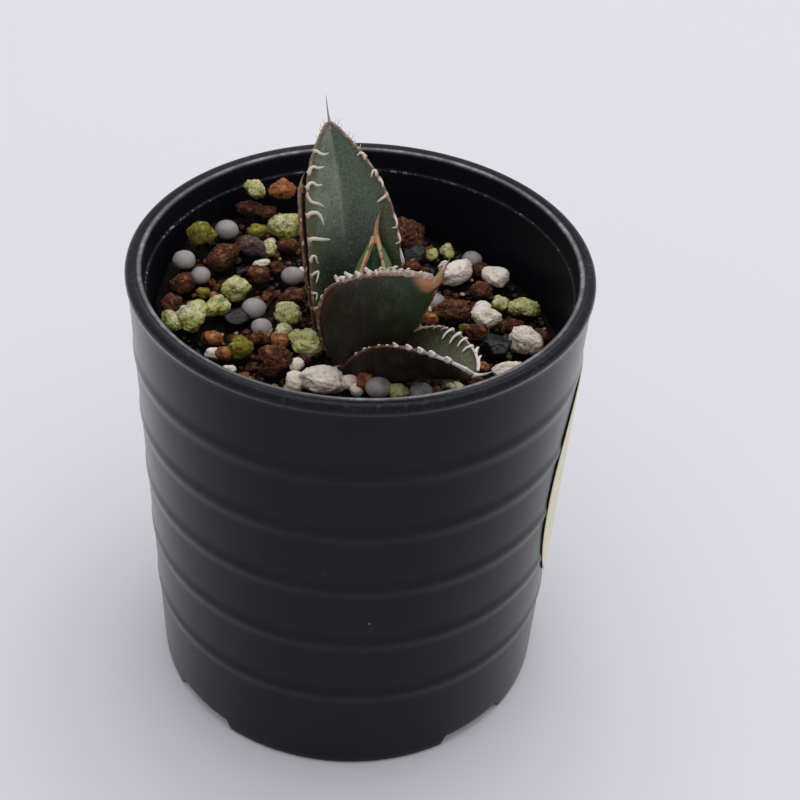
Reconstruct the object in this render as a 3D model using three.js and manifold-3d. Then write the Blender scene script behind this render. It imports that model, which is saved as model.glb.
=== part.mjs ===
// A potted agave seedling: black plastic pot, blank label, gritty potting mix, short stem and five leaves.
// Millimetres, +Z up. The origin is the middle of the pot's foot, on the surface that the pot stands on.
// The viewer of the plant's open side stands towards -Y.

import * as THREE from "three";
import { mergeVertices } from "three/addons/utils/BufferGeometryUtils.js";
import Module from "manifold-3d";

const wasm = await Module();
wasm.setup();

// Pot
const POT_HEIGHT = 88;
const RIM_RADIUS = 40;
const WALL_TOP_RADIUS = 39.7;
const WALL_FOOT_RADIUS = 36.6;
const RIB_HEIGHTS = [19.5, 33.3, 46.8, 59.8, 72.8];
const RIB_RISE = 0.22;
const RIB_HALF_HEIGHT = 1.5;
const LEDGE_HEIGHT = 83.8;
const LEDGE_OUTER_RADIUS = 36.9;
const LEDGE_INNER_RADIUS = 36.4;
const INNER_FOOT_RADIUS = 33.4;
const FLOOR_TOP = 4;
const FLOOR_UNDERSIDE = 2;
const FOOT_RING_INNER_RADIUS = 33.6;
const DRAIN_HOLE_RADIUS = 3.5;
const DRAIN_HOLE_RING = 19;
const DRAIN_HOLE_COUNT = 6;
const FOOT_NOTCH_ANGLES = [-48, -138, 132, 42];
const FOOT_NOTCH_WIDTH = 15;
const FOOT_NOTCH_HEIGHT = 1.9;
const POT_SIDES = 40;

// Label, a blank upright oval sticker on the wall to the viewer's right: it bridges the ribs
const LABEL_WIDTH = 28;
const LABEL_LENGTH = 49;
const LABEL_MIDDLE = 47.6;
const LABEL_THICKNESS = 0.3;
const LABEL_ANGLE = -5;
const LABEL_STEPS = 28;

// Gap between pieces that touch, and the least gap between a blade and its own horny edge
const GAP = 0.3;
const EDGE_GAP = 0.12;
// Corners that lie closer than this to a straight line or a flat face are left out
const SIMPLER = 0.02;

// Potting mix: its surface falls to the right, and it is heaped up at the back left and under the front leaves
const MIX_LEVEL = 72.8;
const MIX_SLOPE = 0.05;
const HEAPS = [{ x: -27, y: 20, height: 6.5, spread: 14 }, { x: 4.5, y: -23.5, height: 3.6, spread: 8.5 }];
const MIX_RINGS = [7, 14, 21, 28];
const MIX_SECTORS = 26;

// Stem
const STEM_X = -1.4;
const STEM_Y = -7.6;
const STEM_TOP = 75.4;
const STEM_BOTTOM = 56;
const STEM_TOP_RADIUS = 3.4;
const STEM_BOTTOM_RADIUS = 2;

// Leaves. Lengths are along the midrib and widths across the leaf; angles are in degrees.
// heading: the way it leans in plan, rise: its climb at the base and at the tip, widest: how far up it is widest,
// taper: two powers that shape the outline above there, fold: the lift of each half from the midrib,
// cup: extra curl of the halves, roll: how far the edges turn in, twist: turn about the midrib at base and tip,
// bow: sideways bend of the midrib, uneven: how much wider the second half is than the first,
// setback: how far the blade stops short of the tip, start: where the horny edge of each half begins,
// outside: the leaves that its base clasps.
const LEAVES = {
  leaf_back: {
    outside: ["leaf_centre"],
    base: [-3, -4.6, 73.7], heading: 102, rise: [67.8, 60.4], length: 37.8, halfWidth: 9, baseWidth: 0.5,
    widest: 0.3, taper: [1.85, 0.91], fold: 35.2, cup: 0.19, twist: [-5.6, 16.5], bow: 1.5, uneven: 0.14,
    thickness: [2, 1], setback: 2, start: [0.16, 0.16], spine: 4.6, spineTurn: [0.05, -0.05],
    teeth: [
      [[0.25, 1.6], [0.3, 1.8], [0.37, 2.6], [0.44, 2], [0.52, 3.6], [0.63, 3.6], [0.69, 3.3], [0.75, 2.8],
        [0.82, 2.7], [0.88, 2.4], [0.94, 1.6]],
      [[0.3, 1.4], [0.39, 1.8], [0.47, 2], [0.56, 2], [0.66, 2.4], [0.73, 2], [0.78, 2.1], [0.85, 2.2],
        [0.91, 1.6], [0.95, 1.5]],
    ],
    reach: [[0.35, 1.25, -1.2], [0.9, 0.5, -0.5]],
  },
  leaf_left: {
    outside: ["leaf_centre", "leaf_back", "leaf_front"],
    base: [-5.5, -0.5, 69.8], heading: 146, rise: [79.2, 78.1], length: 31, halfWidth: 5.3, baseWidth: 0.68,
    widest: 0.38, taper: [1.29, 0.8], fold: 17.6, cup: 0.08, twist: [-2.4, -1.4], bow: 0.56, uneven: 0,
    thickness: [1.8, 0.9], setback: 1.6, start: [0.2, 0.2], spine: 2.4, spineTurn: [0.2, 0.3],
    teeth: [
      [[0.3, 1.2], [0.4, 1.5], [0.5, 1.6], [0.6, 1.7], [0.7, 1.6], [0.79, 1.4], [0.87, 1.2], [0.93, 1]],
      [[0.24, 1.2], [0.36, 1.5], [0.45, 1.6], [0.55, 1.6], [0.64, 1.6], [0.74, 1.4], [0.83, 1.2], [0.91, 1]],
    ],
    reach: [[0.9, 0.4, -0.3], [0.9, 0.4, -0.3]],
  },
  leaf_front: {
    outside: ["leaf_centre", "leaf_back"],
    base: [0.7, -12.3, 71.4], heading: -34, rise: [75, 49.6], length: 30.5, halfWidth: 11.6, baseWidth: 0.47,
    widest: 0.61, taper: [0.8, 0.6], fold: 21.8, cup: 0.28, twist: [47.2, 23.4], bow: 2.1, uneven: -0.11,
    thickness: [2.2, 1.2], setback: 1, start: [0.2, 0.2], spine: 4.4, spineTurn: [0, 0.1],
    teeth: [
      [[0.36, 1.3], [0.45, 1.6], [0.54, 1.8], [0.63, 1.9], [0.71, 1.9], [0.79, 1.8], [0.87, 1.7], [0.94, 1.6]],
      [[0.24, 1], [0.36, 1.4], [0.48, 1.6], [0.58, 1.8], [0.67, 2], [0.75, 2.1], [0.81, 2.1], [0.87, 2],
        [0.92, 2], [0.965, 2]],
    ],
    reach: [[0.8, 0.7, -0.5], [0.8, 0.7, -0.5]],
  },
  leaf_right: {
    outside: ["leaf_centre", "leaf_back", "leaf_front"],
    base: [1.3, -15.4, 74.1], heading: -33, rise: [34, 20], length: 23.4, halfWidth: 8.6, baseWidth: 0.6,
    widest: 0.46, taper: [0.8, 0.5], fold: 39, cup: 0.17, twist: [17, 15], bow: -0.7, uneven: 0,
    thickness: [2.2, 1.2], setback: 1, start: [0.3, 0.06], spine: 4.2, spineTurn: [0, 0.25],
    teeth: [
      [[0.28, 1.2], [0.37, 1.6], [0.47, 1.8], [0.56, 1.9], [0.64, 2.2], [0.72, 2.3], [0.79, 2.3], [0.85, 2.2],
        [0.91, 2], [0.96, 1.6]],
      [[0.28, 1], [0.39, 1.1], [0.49, 1.2], [0.57, 1.2], [0.66, 1.5], [0.73, 1.6], [0.8, 1.6], [0.87, 1.4],
        [0.93, 1.2]],
    ],
    reach: [[0.7, 0.8, -0.9], [0.6, 0.8, -0.4]],
  },
  leaf_centre: {
    outside: [],
    base: [-0.4, -8.5, 76], heading: 72, rise: [65.2, 66.8], length: 19.2, halfWidth: 9.1, baseWidth: 0.7,
    widest: 0.45, taper: [1.06, 1.02], fold: 25, cup: 0, roll: 0.5, twist: [4.7, 4.7], bow: 2, uneven: 0,
    thickness: [1.6, 0.8], setback: 2.4, start: [0.3, 0.3], spine: 3.2, spineTurn: [0, 0],
    teeth: [[[0.55, 0.8], [0.68, 0.8]], [[0.55, 0.8], [0.68, 0.8]]],
    reach: [[0.6, 0.6, -1.2], [0.6, 0.6, -1.2]],
  },
};
const BLADE_STEPS = 16;
const BLADE_ACROSS = [-1, -0.67, -0.33, 0, 0.33, 0.67, 1];
const BLADE_EDGE_THICKNESS = 0.7;
const BLADE_INSET = 0.92;
const BLADE_LEAST_HALF_WIDTH = 0.4;
const BLADE_ROOT = 1.6;
const MIDRIB_SOFTNESS = 0.15;
const RISE_POWER = 1.3;
const MARGIN_STEPS = 13;
const MARGIN_END_SHARE = 0.93;
const MARGIN_END_SETBACK = 0.0012;
const SPINE_FOOT_REACH = 0.5;
const MARGIN_HALF_WIDTH = 0.3;
const MARGIN_HALF_THICKNESS = 0.35;
const TOOTH_BASE_RADIUS = 0.5;
const LONG_TOOTH = 2.2;
const SPINE_BASE_RADIUS = 0.65;

// Grains that show on the surface, by kind: x, y, lift of the middle above the surface, length, width, turn
const GRAINS = {
  palePumice: [
    [-20, 25.5, 6.4, 5, 3.6, 120], [-14.5, 23.5, 1.4, 7, 5.6, 70], [-17, 15.5, 0.8, 4, 3.2, 80],
    [-21.8, 4, 1.2, 5.4, 4.8, 40], [-28.6, -3.5, 1.6, 7.2, 5.6, 75], [-24.8, -0.5, 1.2, 5.4, 4.4, 60],
    [-32, -4.5, 1.2, 6.6, 3.6, 115], [-12.6, 0, 1.2, 5.4, 4.6, -25], [-13.2, -4, 0.9, 3.6, 3, 50],
    [-9, -6.8, 1.5, 7, 5.4, -50], [6.7, -22, 1.1, 3.6, 3.2, 0], [13, 25, 0.8, 3.2, 2.6, 90],
    [16, 26.5, 1, 4.2, 2.8, 90], [25.3, 11, 0.8, 3.8, 3.2, 60], [29.6, 9.3, 1.2, 6, 4, -10],
  ],
  whitePumice: [
    [-6.8, -19.2, 2, 12, 5.4, -4], [17.5, 18.5, 1.6, 9, 5, 38], [25, 18.5, 1.4, 6.2, 4.6, -60],
    [22.5, 6, 1.1, 5.6, 4.6, -20], [29, -1, 1.6, 7, 6, -35], [26, -9, 1, 6, 3.4, 20],
    [-17.8, 11.5, 0.6, 3.8, 1.8, 20], [-24.8, -11, 0.6, 3.2, 2.4, 0], [-21.6, -14.6, 0.5, 2.4, 1.8, 0],
    [-10.4, -12.6, 0.7, 3, 2.8, 0], [0.1, -20.5, 0.4, 3, 2.8, 0],
    [-1.3, -19.5, 1, 3.4, 3.2, 0],
  ],
  brownClay: [
    [-21, 25, 2.2, 5, 3.6, 10], [-17.6, 27.6, 0.8, 4, 3.4, 0], [-24.7, 10.5, 1.4, 7, 5, 50],
    [-13.4, 18, 0.8, 4.4, 3.4, 0], [-18.2, 8.2, 1, 4.6, 4, 30], [-15, 11.4, 0.7, 3.2, 2.8, 0],
    [-31.2, 4, 1.2, 4.8, 4.2, 20], [-32.4, -0.4, 1.4, 4.2, 3.6, 60], [-12, 5.2, 0.9, 4.6, 3.8, 20],
    [-17.2, -6.4, 0.7, 4, 3, 0], [-14.2, -12.4, 1.5, 6.8, 5.6, 30], [-9.4, -10.6, 0.5, 2.6, 2.4, 0],
    [8.4, 28.6, 2.4, 8, 6.6, 100], [22, 21.5, 0.8, 3.6, 3.2, 0], [21.8, 14.2, 0.9, 4.2, 4, 0],
    [16.7, 7, 1.2, 7.4, 4.4, 10], [27.6, 4.5, 0.7, 3.4, 2.8, 0], [32, 1.5, 1, 3.8, 3.2, -40],
    [20.8, 1.4, 0.9, 4.8, 3.6, 0],
  ],
  rustClay: [
    [-15.4, 28, 6.2, 5.6, 4.6, 15], [-25.2, -7.6, 0.8, 4.4, 3, -10], [-22.8, -11, 0.7, 3.4, 2.8, 0],
    [1.7, -19.5, 1.5, 4.6, 4.4, 0], [12.4, 4.6, 0.6, 3.4, 2.6, 0], [21.4, -8.4, 0.6, 2.6, 2.2, 0],
  ],
  mossyGrain: [
    [-28.6, 13.8, 2.6, 5.6, 5, 0], [-19.4, 19.6, 0.7, 4, 3, 20], [-27.6, 2.8, 0.6, 2.8, 2.6, 0],
    [-20.2, -9.8, 1.1, 5, 4.4, 60], [19, 2.8, 0.5, 2.8, 2.4, 0],
  ],
  charcoal: [
    [-21.2, -2, 0.8, 4.8, 4, 20], [9.6, 24.2, 1.1, 5.4, 4.8, 80], [24, -3, 1.2, 6, 5.2, 50],
  ],
  purpleLava: [[-20, 14.4, 1.1, 5, 4.4, -30]],
  fertiliserBead: [
    [-24.6, 17.8, 1, 4.4, 4.1, 0], [-31.2, 7.6, 2.8, 4.1, 3.9, 0], [-28.3, 6.5, 0.7, 3.7, 3.5, 0],
    [-12.3, 10, 0.9, 4.1, 3.7, 0], [-18.5, 0.3, 1, 4.4, 4.1, 0], [-16.9, -3.6, 0.8, 3.7, 3.4, 0],
    [3.5, -21.5, 1.3, 4.4, 4.1, 0], [10.5, -21, 1.4, 4.1, 3.7, 0], [20.6, 24.6, 0.7, 3.9, 3.6, 0],
    [13.4, 9.2, 0.9, 4.1, 4, 0],
  ],
};
// Grains between them, drawn by rule
const FILLER_COUNT = 24;
const FILLER_SIZES = [3, 4.6];
const FILLER_SEED = 41;
const PLANT_CLEARANCE = 8.5;
const GRAIN_ROUGHNESS = { fertiliserBead: 0, other: 0.14 };
const GRAIN_HEIGHT_SHARE = 0.85;

const COLOURS = {
  pot: { color: 0x1d1e21, roughness: 0.55 },
  label: { color: 0xd9d3a0, roughness: 0.7 },
  mix: { color: 0x6b4a38, roughness: 0.95 },
  stem: { color: 0x6d7a55, roughness: 0.8 },
  blade: { color: 0x4c5a48, roughness: 0.6 },
  margin: { color: 0xd8cbb8, roughness: 0.6 },
};

const radians = (degrees) => (degrees * Math.PI) / 180;

// A seeded random stream: each call gives the next number from 0 to 1.
function randomStream(seed) {
  let state = seed >>> 0;
  return () => {
    state = (state + 0x6d2b79f5) >>> 0;
    let mixed = state;
    mixed = Math.imul(mixed ^ (mixed >>> 15), mixed | 1);
    mixed ^= mixed + Math.imul(mixed ^ (mixed >>> 7), mixed | 61);
    return ((mixed ^ (mixed >>> 14)) >>> 0) / 4294967296;
  };
}

// Turns a closed geometry into a solid, with shared corners merged and flat triangles left out.
function solidOf(geometry) {
  const bare = geometry.clone();
  bare.deleteAttribute("normal");
  bare.deleteAttribute("uv");
  const merged = mergeVertices(bare, 1e-4);
  const index = merged.index.array;
  const kept = [];
  for (let i = 0; i < index.length; i += 3) {
    const [a, b, c] = [index[i], index[i + 1], index[i + 2]];
    if (a !== b && b !== c && c !== a) {
      kept.push(a, b, c);
    }
  }
  const vertProperties = new Float32Array(merged.attributes.position.array);
  const mesh = new wasm.Mesh({ numProp: 3, vertProperties, triVerts: new Uint32Array(kept) });
  return new wasm.Manifold(mesh);
}

function geometryOf(solid) {
  const mesh = solid.getMesh();
  const geometry = new THREE.BufferGeometry();
  geometry.setAttribute("position", new THREE.BufferAttribute(new Float32Array(mesh.vertProperties), 3));
  geometry.setIndex(new THREE.BufferAttribute(new Uint32Array(mesh.triVerts), 1));
  return geometry;
}

function geometryFrom(points, faces) {
  const geometry = new THREE.BufferGeometry();
  const flat = points.flatMap((p) => [p.x, p.y, p.z]);
  geometry.setAttribute("position", new THREE.Float32BufferAttribute(flat, 3));
  geometry.setIndex(faces.flat());
  return geometry;
}

function joined(solids) {
  return solids.reduce((whole, next) => whole.add(next));
}

function less(solid, rooms) {
  return rooms.reduce((body, room) => body.subtract(room), solid);
}

// The largest body of a solid, without loose scraps.
function largestBody(solid) {
  const bodies = solid.simplify(SIMPLER).decompose();
  return bodies.reduce((best, body) => (body.volume() > best.volume() ? body : best));
}

// A profile of [radius, height] points turned about the vertical axis.
function turned(profile, sides) {
  const points = profile.map(([radius, height]) => new THREE.Vector2(radius, height));
  return new THREE.LatheGeometry(points, sides).rotateX(Math.PI / 2);
}

const outerRadius = (z) => WALL_FOOT_RADIUS + ((WALL_TOP_RADIUS - WALL_FOOT_RADIUS) * z) / POT_HEIGHT;
const innerRadius = (z) =>
  INNER_FOOT_RADIUS + ((LEDGE_INNER_RADIUS - INNER_FOOT_RADIUS) * (z - FLOOR_TOP)) / (LEDGE_HEIGHT - FLOOR_TOP);

// The wall between foot and rim, with its five soft ribs.
function ribbedWall() {
  const wall = [[FOOT_RING_INNER_RADIUS, 0], [WALL_FOOT_RADIUS - 0.9, 0], [WALL_FOOT_RADIUS - 0.1, 0.9]];
  for (const z of RIB_HEIGHTS) {
    wall.push([outerRadius(z - RIB_HALF_HEIGHT), z - RIB_HALF_HEIGHT]);
    wall.push([outerRadius(z) + RIB_RISE, z]);
    wall.push([outerRadius(z + RIB_HALF_HEIGHT), z + RIB_HALF_HEIGHT]);
  }
  return wall;
}

// The rolled lip, a groove inside it and the thin inner edge.
const rimProfile = [
  [WALL_TOP_RADIUS - 0.1, 86.2], [RIM_RADIUS, 86.7], [RIM_RADIUS, 87.3], [RIM_RADIUS - 0.4, 87.8],
  [RIM_RADIUS - 1, POT_HEIGHT], [38.4, 87.8], [38.1, 87.4], [37.8, 87.8], [37.45, 87.7], [37.3, 87.3],
];

function pot() {
  const profile = [
    ...ribbedWall(),
    ...rimProfile,
    [LEDGE_OUTER_RADIUS, LEDGE_HEIGHT + 0.3],
    [LEDGE_INNER_RADIUS, LEDGE_HEIGHT],
    [innerRadius(FLOOR_TOP + 1.5), FLOOR_TOP + 1.5],
    [innerRadius(FLOOR_TOP) - 1.5, FLOOR_TOP],
    [0, FLOOR_TOP],
    [0, FLOOR_UNDERSIDE],
    [FOOT_RING_INNER_RADIUS - 1, FLOOR_UNDERSIDE],
    [FOOT_RING_INNER_RADIUS, 0],
  ];
  const holes = [new THREE.CylinderGeometry(4, 4, 6, 16).rotateX(Math.PI / 2).translate(0, 0, 3)];
  for (let i = 0; i < DRAIN_HOLE_COUNT; i += 1) {
    const angle = radians((360 * i) / DRAIN_HOLE_COUNT + 15);
    const hole = new THREE.CylinderGeometry(DRAIN_HOLE_RADIUS, DRAIN_HOLE_RADIUS, 6, 12);
    hole.rotateX(Math.PI / 2);
    hole.translate(DRAIN_HOLE_RING * Math.cos(angle), DRAIN_HOLE_RING * Math.sin(angle), 3);
    holes.push(hole);
  }
  for (const degrees of FOOT_NOTCH_ANGLES) {
    const half = FOOT_NOTCH_WIDTH / 2;
    const outline = new THREE.Shape([
      new THREE.Vector2(-half, -1),
      new THREE.Vector2(half, -1),
      new THREE.Vector2(half - 1.2, FOOT_NOTCH_HEIGHT),
      new THREE.Vector2(1.2 - half, FOOT_NOTCH_HEIGHT),
    ]);
    const notch = new THREE.ExtrudeGeometry(outline, { depth: 8, bevelEnabled: false });
    notch.rotateX(Math.PI / 2);
    notch.translate(0, WALL_FOOT_RADIUS + 3, 0);
    notch.rotateZ(radians(degrees - 90));
    holes.push(notch);
  }
  return holes.reduce((body, hole) => body.subtract(solidOf(hole)), solidOf(turned(profile, POT_SIDES)));
}

// A thin oval sticker: a slice of a shell that lies just clear of the ribs.
function label() {
  const clear = RIB_RISE + GAP;
  const [bottom, top] = [LABEL_MIDDLE - LABEL_LENGTH / 2 - 2, LABEL_MIDDLE + LABEL_LENGTH / 2 + 2];
  const shell = solidOf(turned([
    [outerRadius(bottom) + clear, bottom],
    [outerRadius(bottom) + clear + LABEL_THICKNESS, bottom],
    [outerRadius(top) + clear + LABEL_THICKNESS, top],
    [outerRadius(top) + clear, top],
    [outerRadius(bottom) + clear, bottom],
  ], 2 * POT_SIDES));
  const outline = new THREE.Shape(Array.from({ length: LABEL_STEPS }, (_, i) => {
    const turn = (2 * Math.PI * (i + 0.5)) / LABEL_STEPS;
    return new THREE.Vector2((LABEL_WIDTH / 2) * Math.cos(turn), (LABEL_LENGTH / 2) * Math.sin(turn));
  }));
  const cutter = new THREE.ExtrudeGeometry(outline, { depth: RIM_RADIUS, bevelEnabled: false });
  cutter.rotateX(Math.PI / 2);
  cutter.rotateZ(Math.PI / 2);
  cutter.translate(1, 0, LABEL_MIDDLE);
  return shell.intersect(solidOf(cutter)).rotate([0, 0, LABEL_ANGLE]);
}

// Height of the mix's surface at a place in plan.
function mixHeight(x, y) {
  const heaped = HEAPS.map((heap) => {
    const away = (x - heap.x) ** 2 + (y - heap.y) ** 2;
    return heap.height * Math.exp(-away / (2 * heap.spread ** 2));
  });
  return MIX_LEVEL - MIX_SLOPE * x + heaped[0] + heaped[1];
}

// The body of the mix: a plug that fills the pot, with an uneven top.
function mixBody() {
  const bottom = FLOOR_TOP + GAP;
  const points = [new THREE.Vector3(0, 0, mixHeight(0, 0)), new THREE.Vector3(0, 0, bottom)];
  const faces = [];
  const ringStart = [];
  const addRing = (radiusAt, heightAt) => {
    ringStart.push(points.length);
    for (let i = 0; i < MIX_SECTORS; i += 1) {
      const angle = (2 * Math.PI * i) / MIX_SECTORS;
      const radius = radiusAt(angle);
      const [x, y] = [radius * Math.cos(angle), radius * Math.sin(angle)];
      points.push(new THREE.Vector3(x, y, heightAt(x, y)));
    }
  };
  const wallSide = (angle) => {
    const edge = 34.5;
    return innerRadius(mixHeight(edge * Math.cos(angle), edge * Math.sin(angle))) - GAP - 0.15;
  };
  MIX_RINGS.forEach((radius) => addRing(() => radius, mixHeight));
  addRing(wallSide, mixHeight);
  addRing(() => innerRadius(FLOOR_TOP + 2) - GAP - 0.15, () => FLOOR_TOP + 2);
  addRing(() => innerRadius(FLOOR_TOP) - 2, () => bottom);
  for (let i = 0; i < MIX_SECTORS; i += 1) {
    const next = (i + 1) % MIX_SECTORS;
    faces.push([0, ringStart[0] + i, ringStart[0] + next]);
    const last = ringStart[ringStart.length - 1];
    faces.push([1, last + next, last + i]);
    for (let ring = 1; ring < ringStart.length; ring += 1) {
      const [inner, outer] = [ringStart[ring - 1], ringStart[ring]];
      faces.push([inner + i, outer + i, outer + next], [inner + i, outer + next, inner + next]);
    }
  }
  return solidOf(geometryFrom(points, faces));
}

// One grain: a rounded lump with a few flat faces, longer than wide, turned in plan.
function grain(kind, [x, y, lift, long, wide, turn], random) {
  const shape = new THREE.IcosahedronGeometry(1, 0);
  const bare = mergeVertices(shape.deleteAttribute("normal").deleteAttribute("uv"), 1e-4);
  const roughness = GRAIN_ROUGHNESS[kind] ?? GRAIN_ROUGHNESS.other;
  const position = bare.attributes.position;
  for (let i = 0; i < position.count; i += 1) {
    const size = 1 + roughness * (2 * random() - 1);
    position.setXYZ(i, position.getX(i) * size, position.getY(i) * size, position.getZ(i) * size);
  }
  bare.rotateX(random() * Math.PI);
  bare.rotateZ(random() * Math.PI);
  bare.scale(long / 2, wide / 2, (GRAIN_HEIGHT_SHARE * wide) / 2);
  bare.rotateZ(radians(turn));
  bare.translate(x, y, mixHeight(x, y) + lift);
  return solidOf(bare);
}

// Grains drawn by rule over the whole surface, clear of the plant.
function fillerGrains(random) {
  const rows = [];
  const kinds = ["brownClay", "brownClay", "palePumice", "whitePumice", "charcoal", "rustClay"];
  for (let i = 0; i < FILLER_COUNT; i += 1) {
    const radius = 33 * Math.sqrt(random());
    const angle = 2 * Math.PI * random();
    const [x, y] = [radius * Math.cos(angle), radius * Math.sin(angle)];
    const size = FILLER_SIZES[0] + (FILLER_SIZES[1] - FILLER_SIZES[0]) * random();
    const kind = kinds[Math.floor(kinds.length * random())];
    const turn = 180 * random();
    if (Math.hypot(x - STEM_X, y - STEM_Y - 1) > PLANT_CLEARANCE) {
      rows.push([kind, [x, y, 0.05 * size, size, 0.8 * size, turn]]);
    }
  }
  return rows;
}

function pottingMix(clearances) {
  const random = randomStream(FILLER_SEED);
  const rows = fillerGrains(random);
  for (const [kind, placed] of Object.entries(GRAINS)) {
    placed.forEach((row) => rows.push([kind, row]));
  }
  const grains = rows.map(([kind, row]) => grain(kind, row, random));
  const inside = solidOf(turned([
    [0, FLOOR_TOP + GAP], [innerRadius(FLOOR_TOP) - 2, FLOOR_TOP + GAP],
    [innerRadius(FLOOR_TOP + 2) - GAP - 0.1, FLOOR_TOP + 2],
    [innerRadius(LEDGE_HEIGHT) - GAP - 0.1, LEDGE_HEIGHT],
    [innerRadius(LEDGE_HEIGHT) - GAP - 0.1, POT_HEIGHT + 4],
    [0, POT_HEIGHT + 4],
  ], POT_SIDES));
  const heaped = joined([mixBody(), ...grains]).intersect(inside);
  const cleared = clearances.reduce((body, clearance) => body.subtract(clearance), heaped);
  return largestBody(cleared);
}

function stemSolid(margin) {
  return solidOf(turned([
    [0, STEM_BOTTOM - margin], [STEM_BOTTOM_RADIUS + margin, STEM_BOTTOM - margin],
    [STEM_TOP_RADIUS + margin, 70], [STEM_TOP_RADIUS + margin, STEM_TOP - 0.8],
    [STEM_TOP_RADIUS - 0.8 + margin, STEM_TOP + margin], [0, STEM_TOP + margin],
  ], 12).translate(STEM_X, STEM_Y, 0));
}

// Width of one leaf half at a share t of its length, from 0 at the tip to 1 where it is widest.
function outlineShare(leaf, t) {
  if (t < leaf.widest) {
    const below = Math.max(0, t) / leaf.widest;
    return leaf.baseWidth + (1 - leaf.baseWidth) * Math.sin((Math.PI / 2) * below);
  }
  const above = Math.min(1, (t - leaf.widest) / (1 - leaf.widest));
  return Math.cos((Math.PI / 2) * above ** leaf.taper[0]) ** leaf.taper[1];
}

// The midrib point, the sideways direction and the upper side's direction at a share t of the length.
function leafFrame(leaf, t) {
  const heading = radians(leaf.heading);
  const out = new THREE.Vector3(Math.cos(heading), Math.sin(heading), 0);
  const side = new THREE.Vector3(Math.sin(heading), -Math.cos(heading), 0);
  const up = new THREE.Vector3(0, 0, 1);
  const climb = leaf.rise[1] - leaf.rise[0];
  const riseAt = (share) => radians(leaf.rise[0] + climb * Math.max(0, share) ** RISE_POWER);
  const steps = 24;
  let [outward, upward] = [0, 0];
  for (let i = 0; i < steps; i += 1) {
    const rise = riseAt((t * (i + 0.5)) / steps);
    outward += (Math.cos(rise) * t) / steps;
    upward += (Math.sin(rise) * t) / steps;
  }
  const centre = new THREE.Vector3(...leaf.base);
  centre.addScaledVector(out, outward * leaf.length);
  centre.addScaledVector(up, upward * leaf.length);
  centre.addScaledVector(side, leaf.bow * Math.sin(Math.PI * t));
  const rise = riseAt(t);
  const face = out.clone().multiplyScalar(-Math.sin(rise)).addScaledVector(up, Math.cos(rise));
  const twist = radians(leaf.twist[0] + (leaf.twist[1] - leaf.twist[0]) * t);
  const turnedSide = side.clone().multiplyScalar(Math.cos(twist)).addScaledVector(face, Math.sin(twist));
  const turnedFace = face.clone().multiplyScalar(Math.cos(twist)).addScaledVector(side, -Math.sin(twist));
  return { centre, side: turnedSide, face: turnedFace };
}

// A point of the leaf's upper side: t runs from base to tip, v from -1 to 1 across, and the sides lie inset
// millimetres within the leaf's outline.
function leafPoint(leaf, t, v, inset) {
  const { centre, side, face } = leafFrame(leaf, t);
  const full = leaf.halfWidth * outlineShare(leaf, t) * (v > 0 ? 1 + leaf.uneven : 1 - leaf.uneven);
  const half = inset === 0 ? full : Math.max(full - inset, BLADE_LEAST_HALF_WIDTH + BLADE_INSET - inset);
  const fold = Math.tan(radians(leaf.fold));
  const spread = Math.sqrt(1 + fold * fold);
  const lift = (fold * (Math.hypot(v, MIDRIB_SOFTNESS) - MIDRIB_SOFTNESS)) / spread + leaf.cup * v * v;
  const across = v * (1 - (leaf.roll ?? 0) * v * v);
  return centre.addScaledVector(side, (half * across) / spread).addScaledVector(face, half * lift);
}

function leafNormal(leaf, t, v, inset) {
  const step = 0.01;
  const inside = Math.min(t, 1 - 3 * step);
  const along = leafPoint(leaf, inside + step, v, inset).sub(leafPoint(leaf, inside - step, v, inset));
  const across = leafPoint(leaf, inside, v + step, inset).sub(leafPoint(leaf, inside, v - step, inset));
  return across.cross(along).normalize();
}

// The fleshy blade: thick along the midrib, thin at its edges, with blunt root and tip.
// A grown copy of it is the room that other pieces leave.
function blade(leaf, grow) {
  const inset = BLADE_INSET - grow;
  const first = -(BLADE_ROOT + grow) / leaf.length;
  const last = 1 - (leaf.setback - grow) / leaf.length;
  const points = [];
  const faces = [];
  const width = BLADE_ACROSS.length;
  for (let i = 0; i <= BLADE_STEPS; i += 1) {
    const t = first + ((last - first) * i) / BLADE_STEPS;
    const middle = leaf.thickness[0] + (leaf.thickness[1] - leaf.thickness[0]) * Math.max(0, t);
    for (const v of BLADE_ACROSS) {
      const thickness = BLADE_EDGE_THICKNESS + (middle - BLADE_EDGE_THICKNESS) * (1 - v * v);
      const point = leafPoint(leaf, t, v, inset);
      const normal = leafNormal(leaf, Math.max(0.02, t), v, inset);
      points.push(point.clone().addScaledVector(normal, grow));
      points.push(point.addScaledVector(normal, -thickness - grow));
    }
  }
  const at = (i, j, under) => 2 * (i * width + j) + under;
  const quad = (a, b, c, d) => faces.push([a, b, c], [a, c, d]);
  for (let i = 0; i < BLADE_STEPS; i += 1) {
    for (let j = 0; j < width - 1; j += 1) {
      quad(at(i, j, 0), at(i, j + 1, 0), at(i + 1, j + 1, 0), at(i + 1, j, 0));
      faces.push([at(i, j, 1), at(i + 1, j + 1, 1), at(i, j + 1, 1)]);
      faces.push([at(i, j, 1), at(i + 1, j, 1), at(i + 1, j + 1, 1)]);
    }
    quad(at(i, 0, 1), at(i, 0, 0), at(i + 1, 0, 0), at(i + 1, 0, 1));
    quad(at(i, width - 1, 0), at(i, width - 1, 1), at(i + 1, width - 1, 1), at(i + 1, width - 1, 0));
  }
  for (let j = 0; j < width - 1; j += 1) {
    quad(at(0, j, 1), at(0, j + 1, 1), at(0, j + 1, 0), at(0, j, 0));
    quad(at(BLADE_STEPS, j, 0), at(BLADE_STEPS, j + 1, 0), at(BLADE_STEPS, j + 1, 1), at(BLADE_STEPS, j, 1));
  }
  return solidOf(geometryFrom(points, faces));
}

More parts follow.
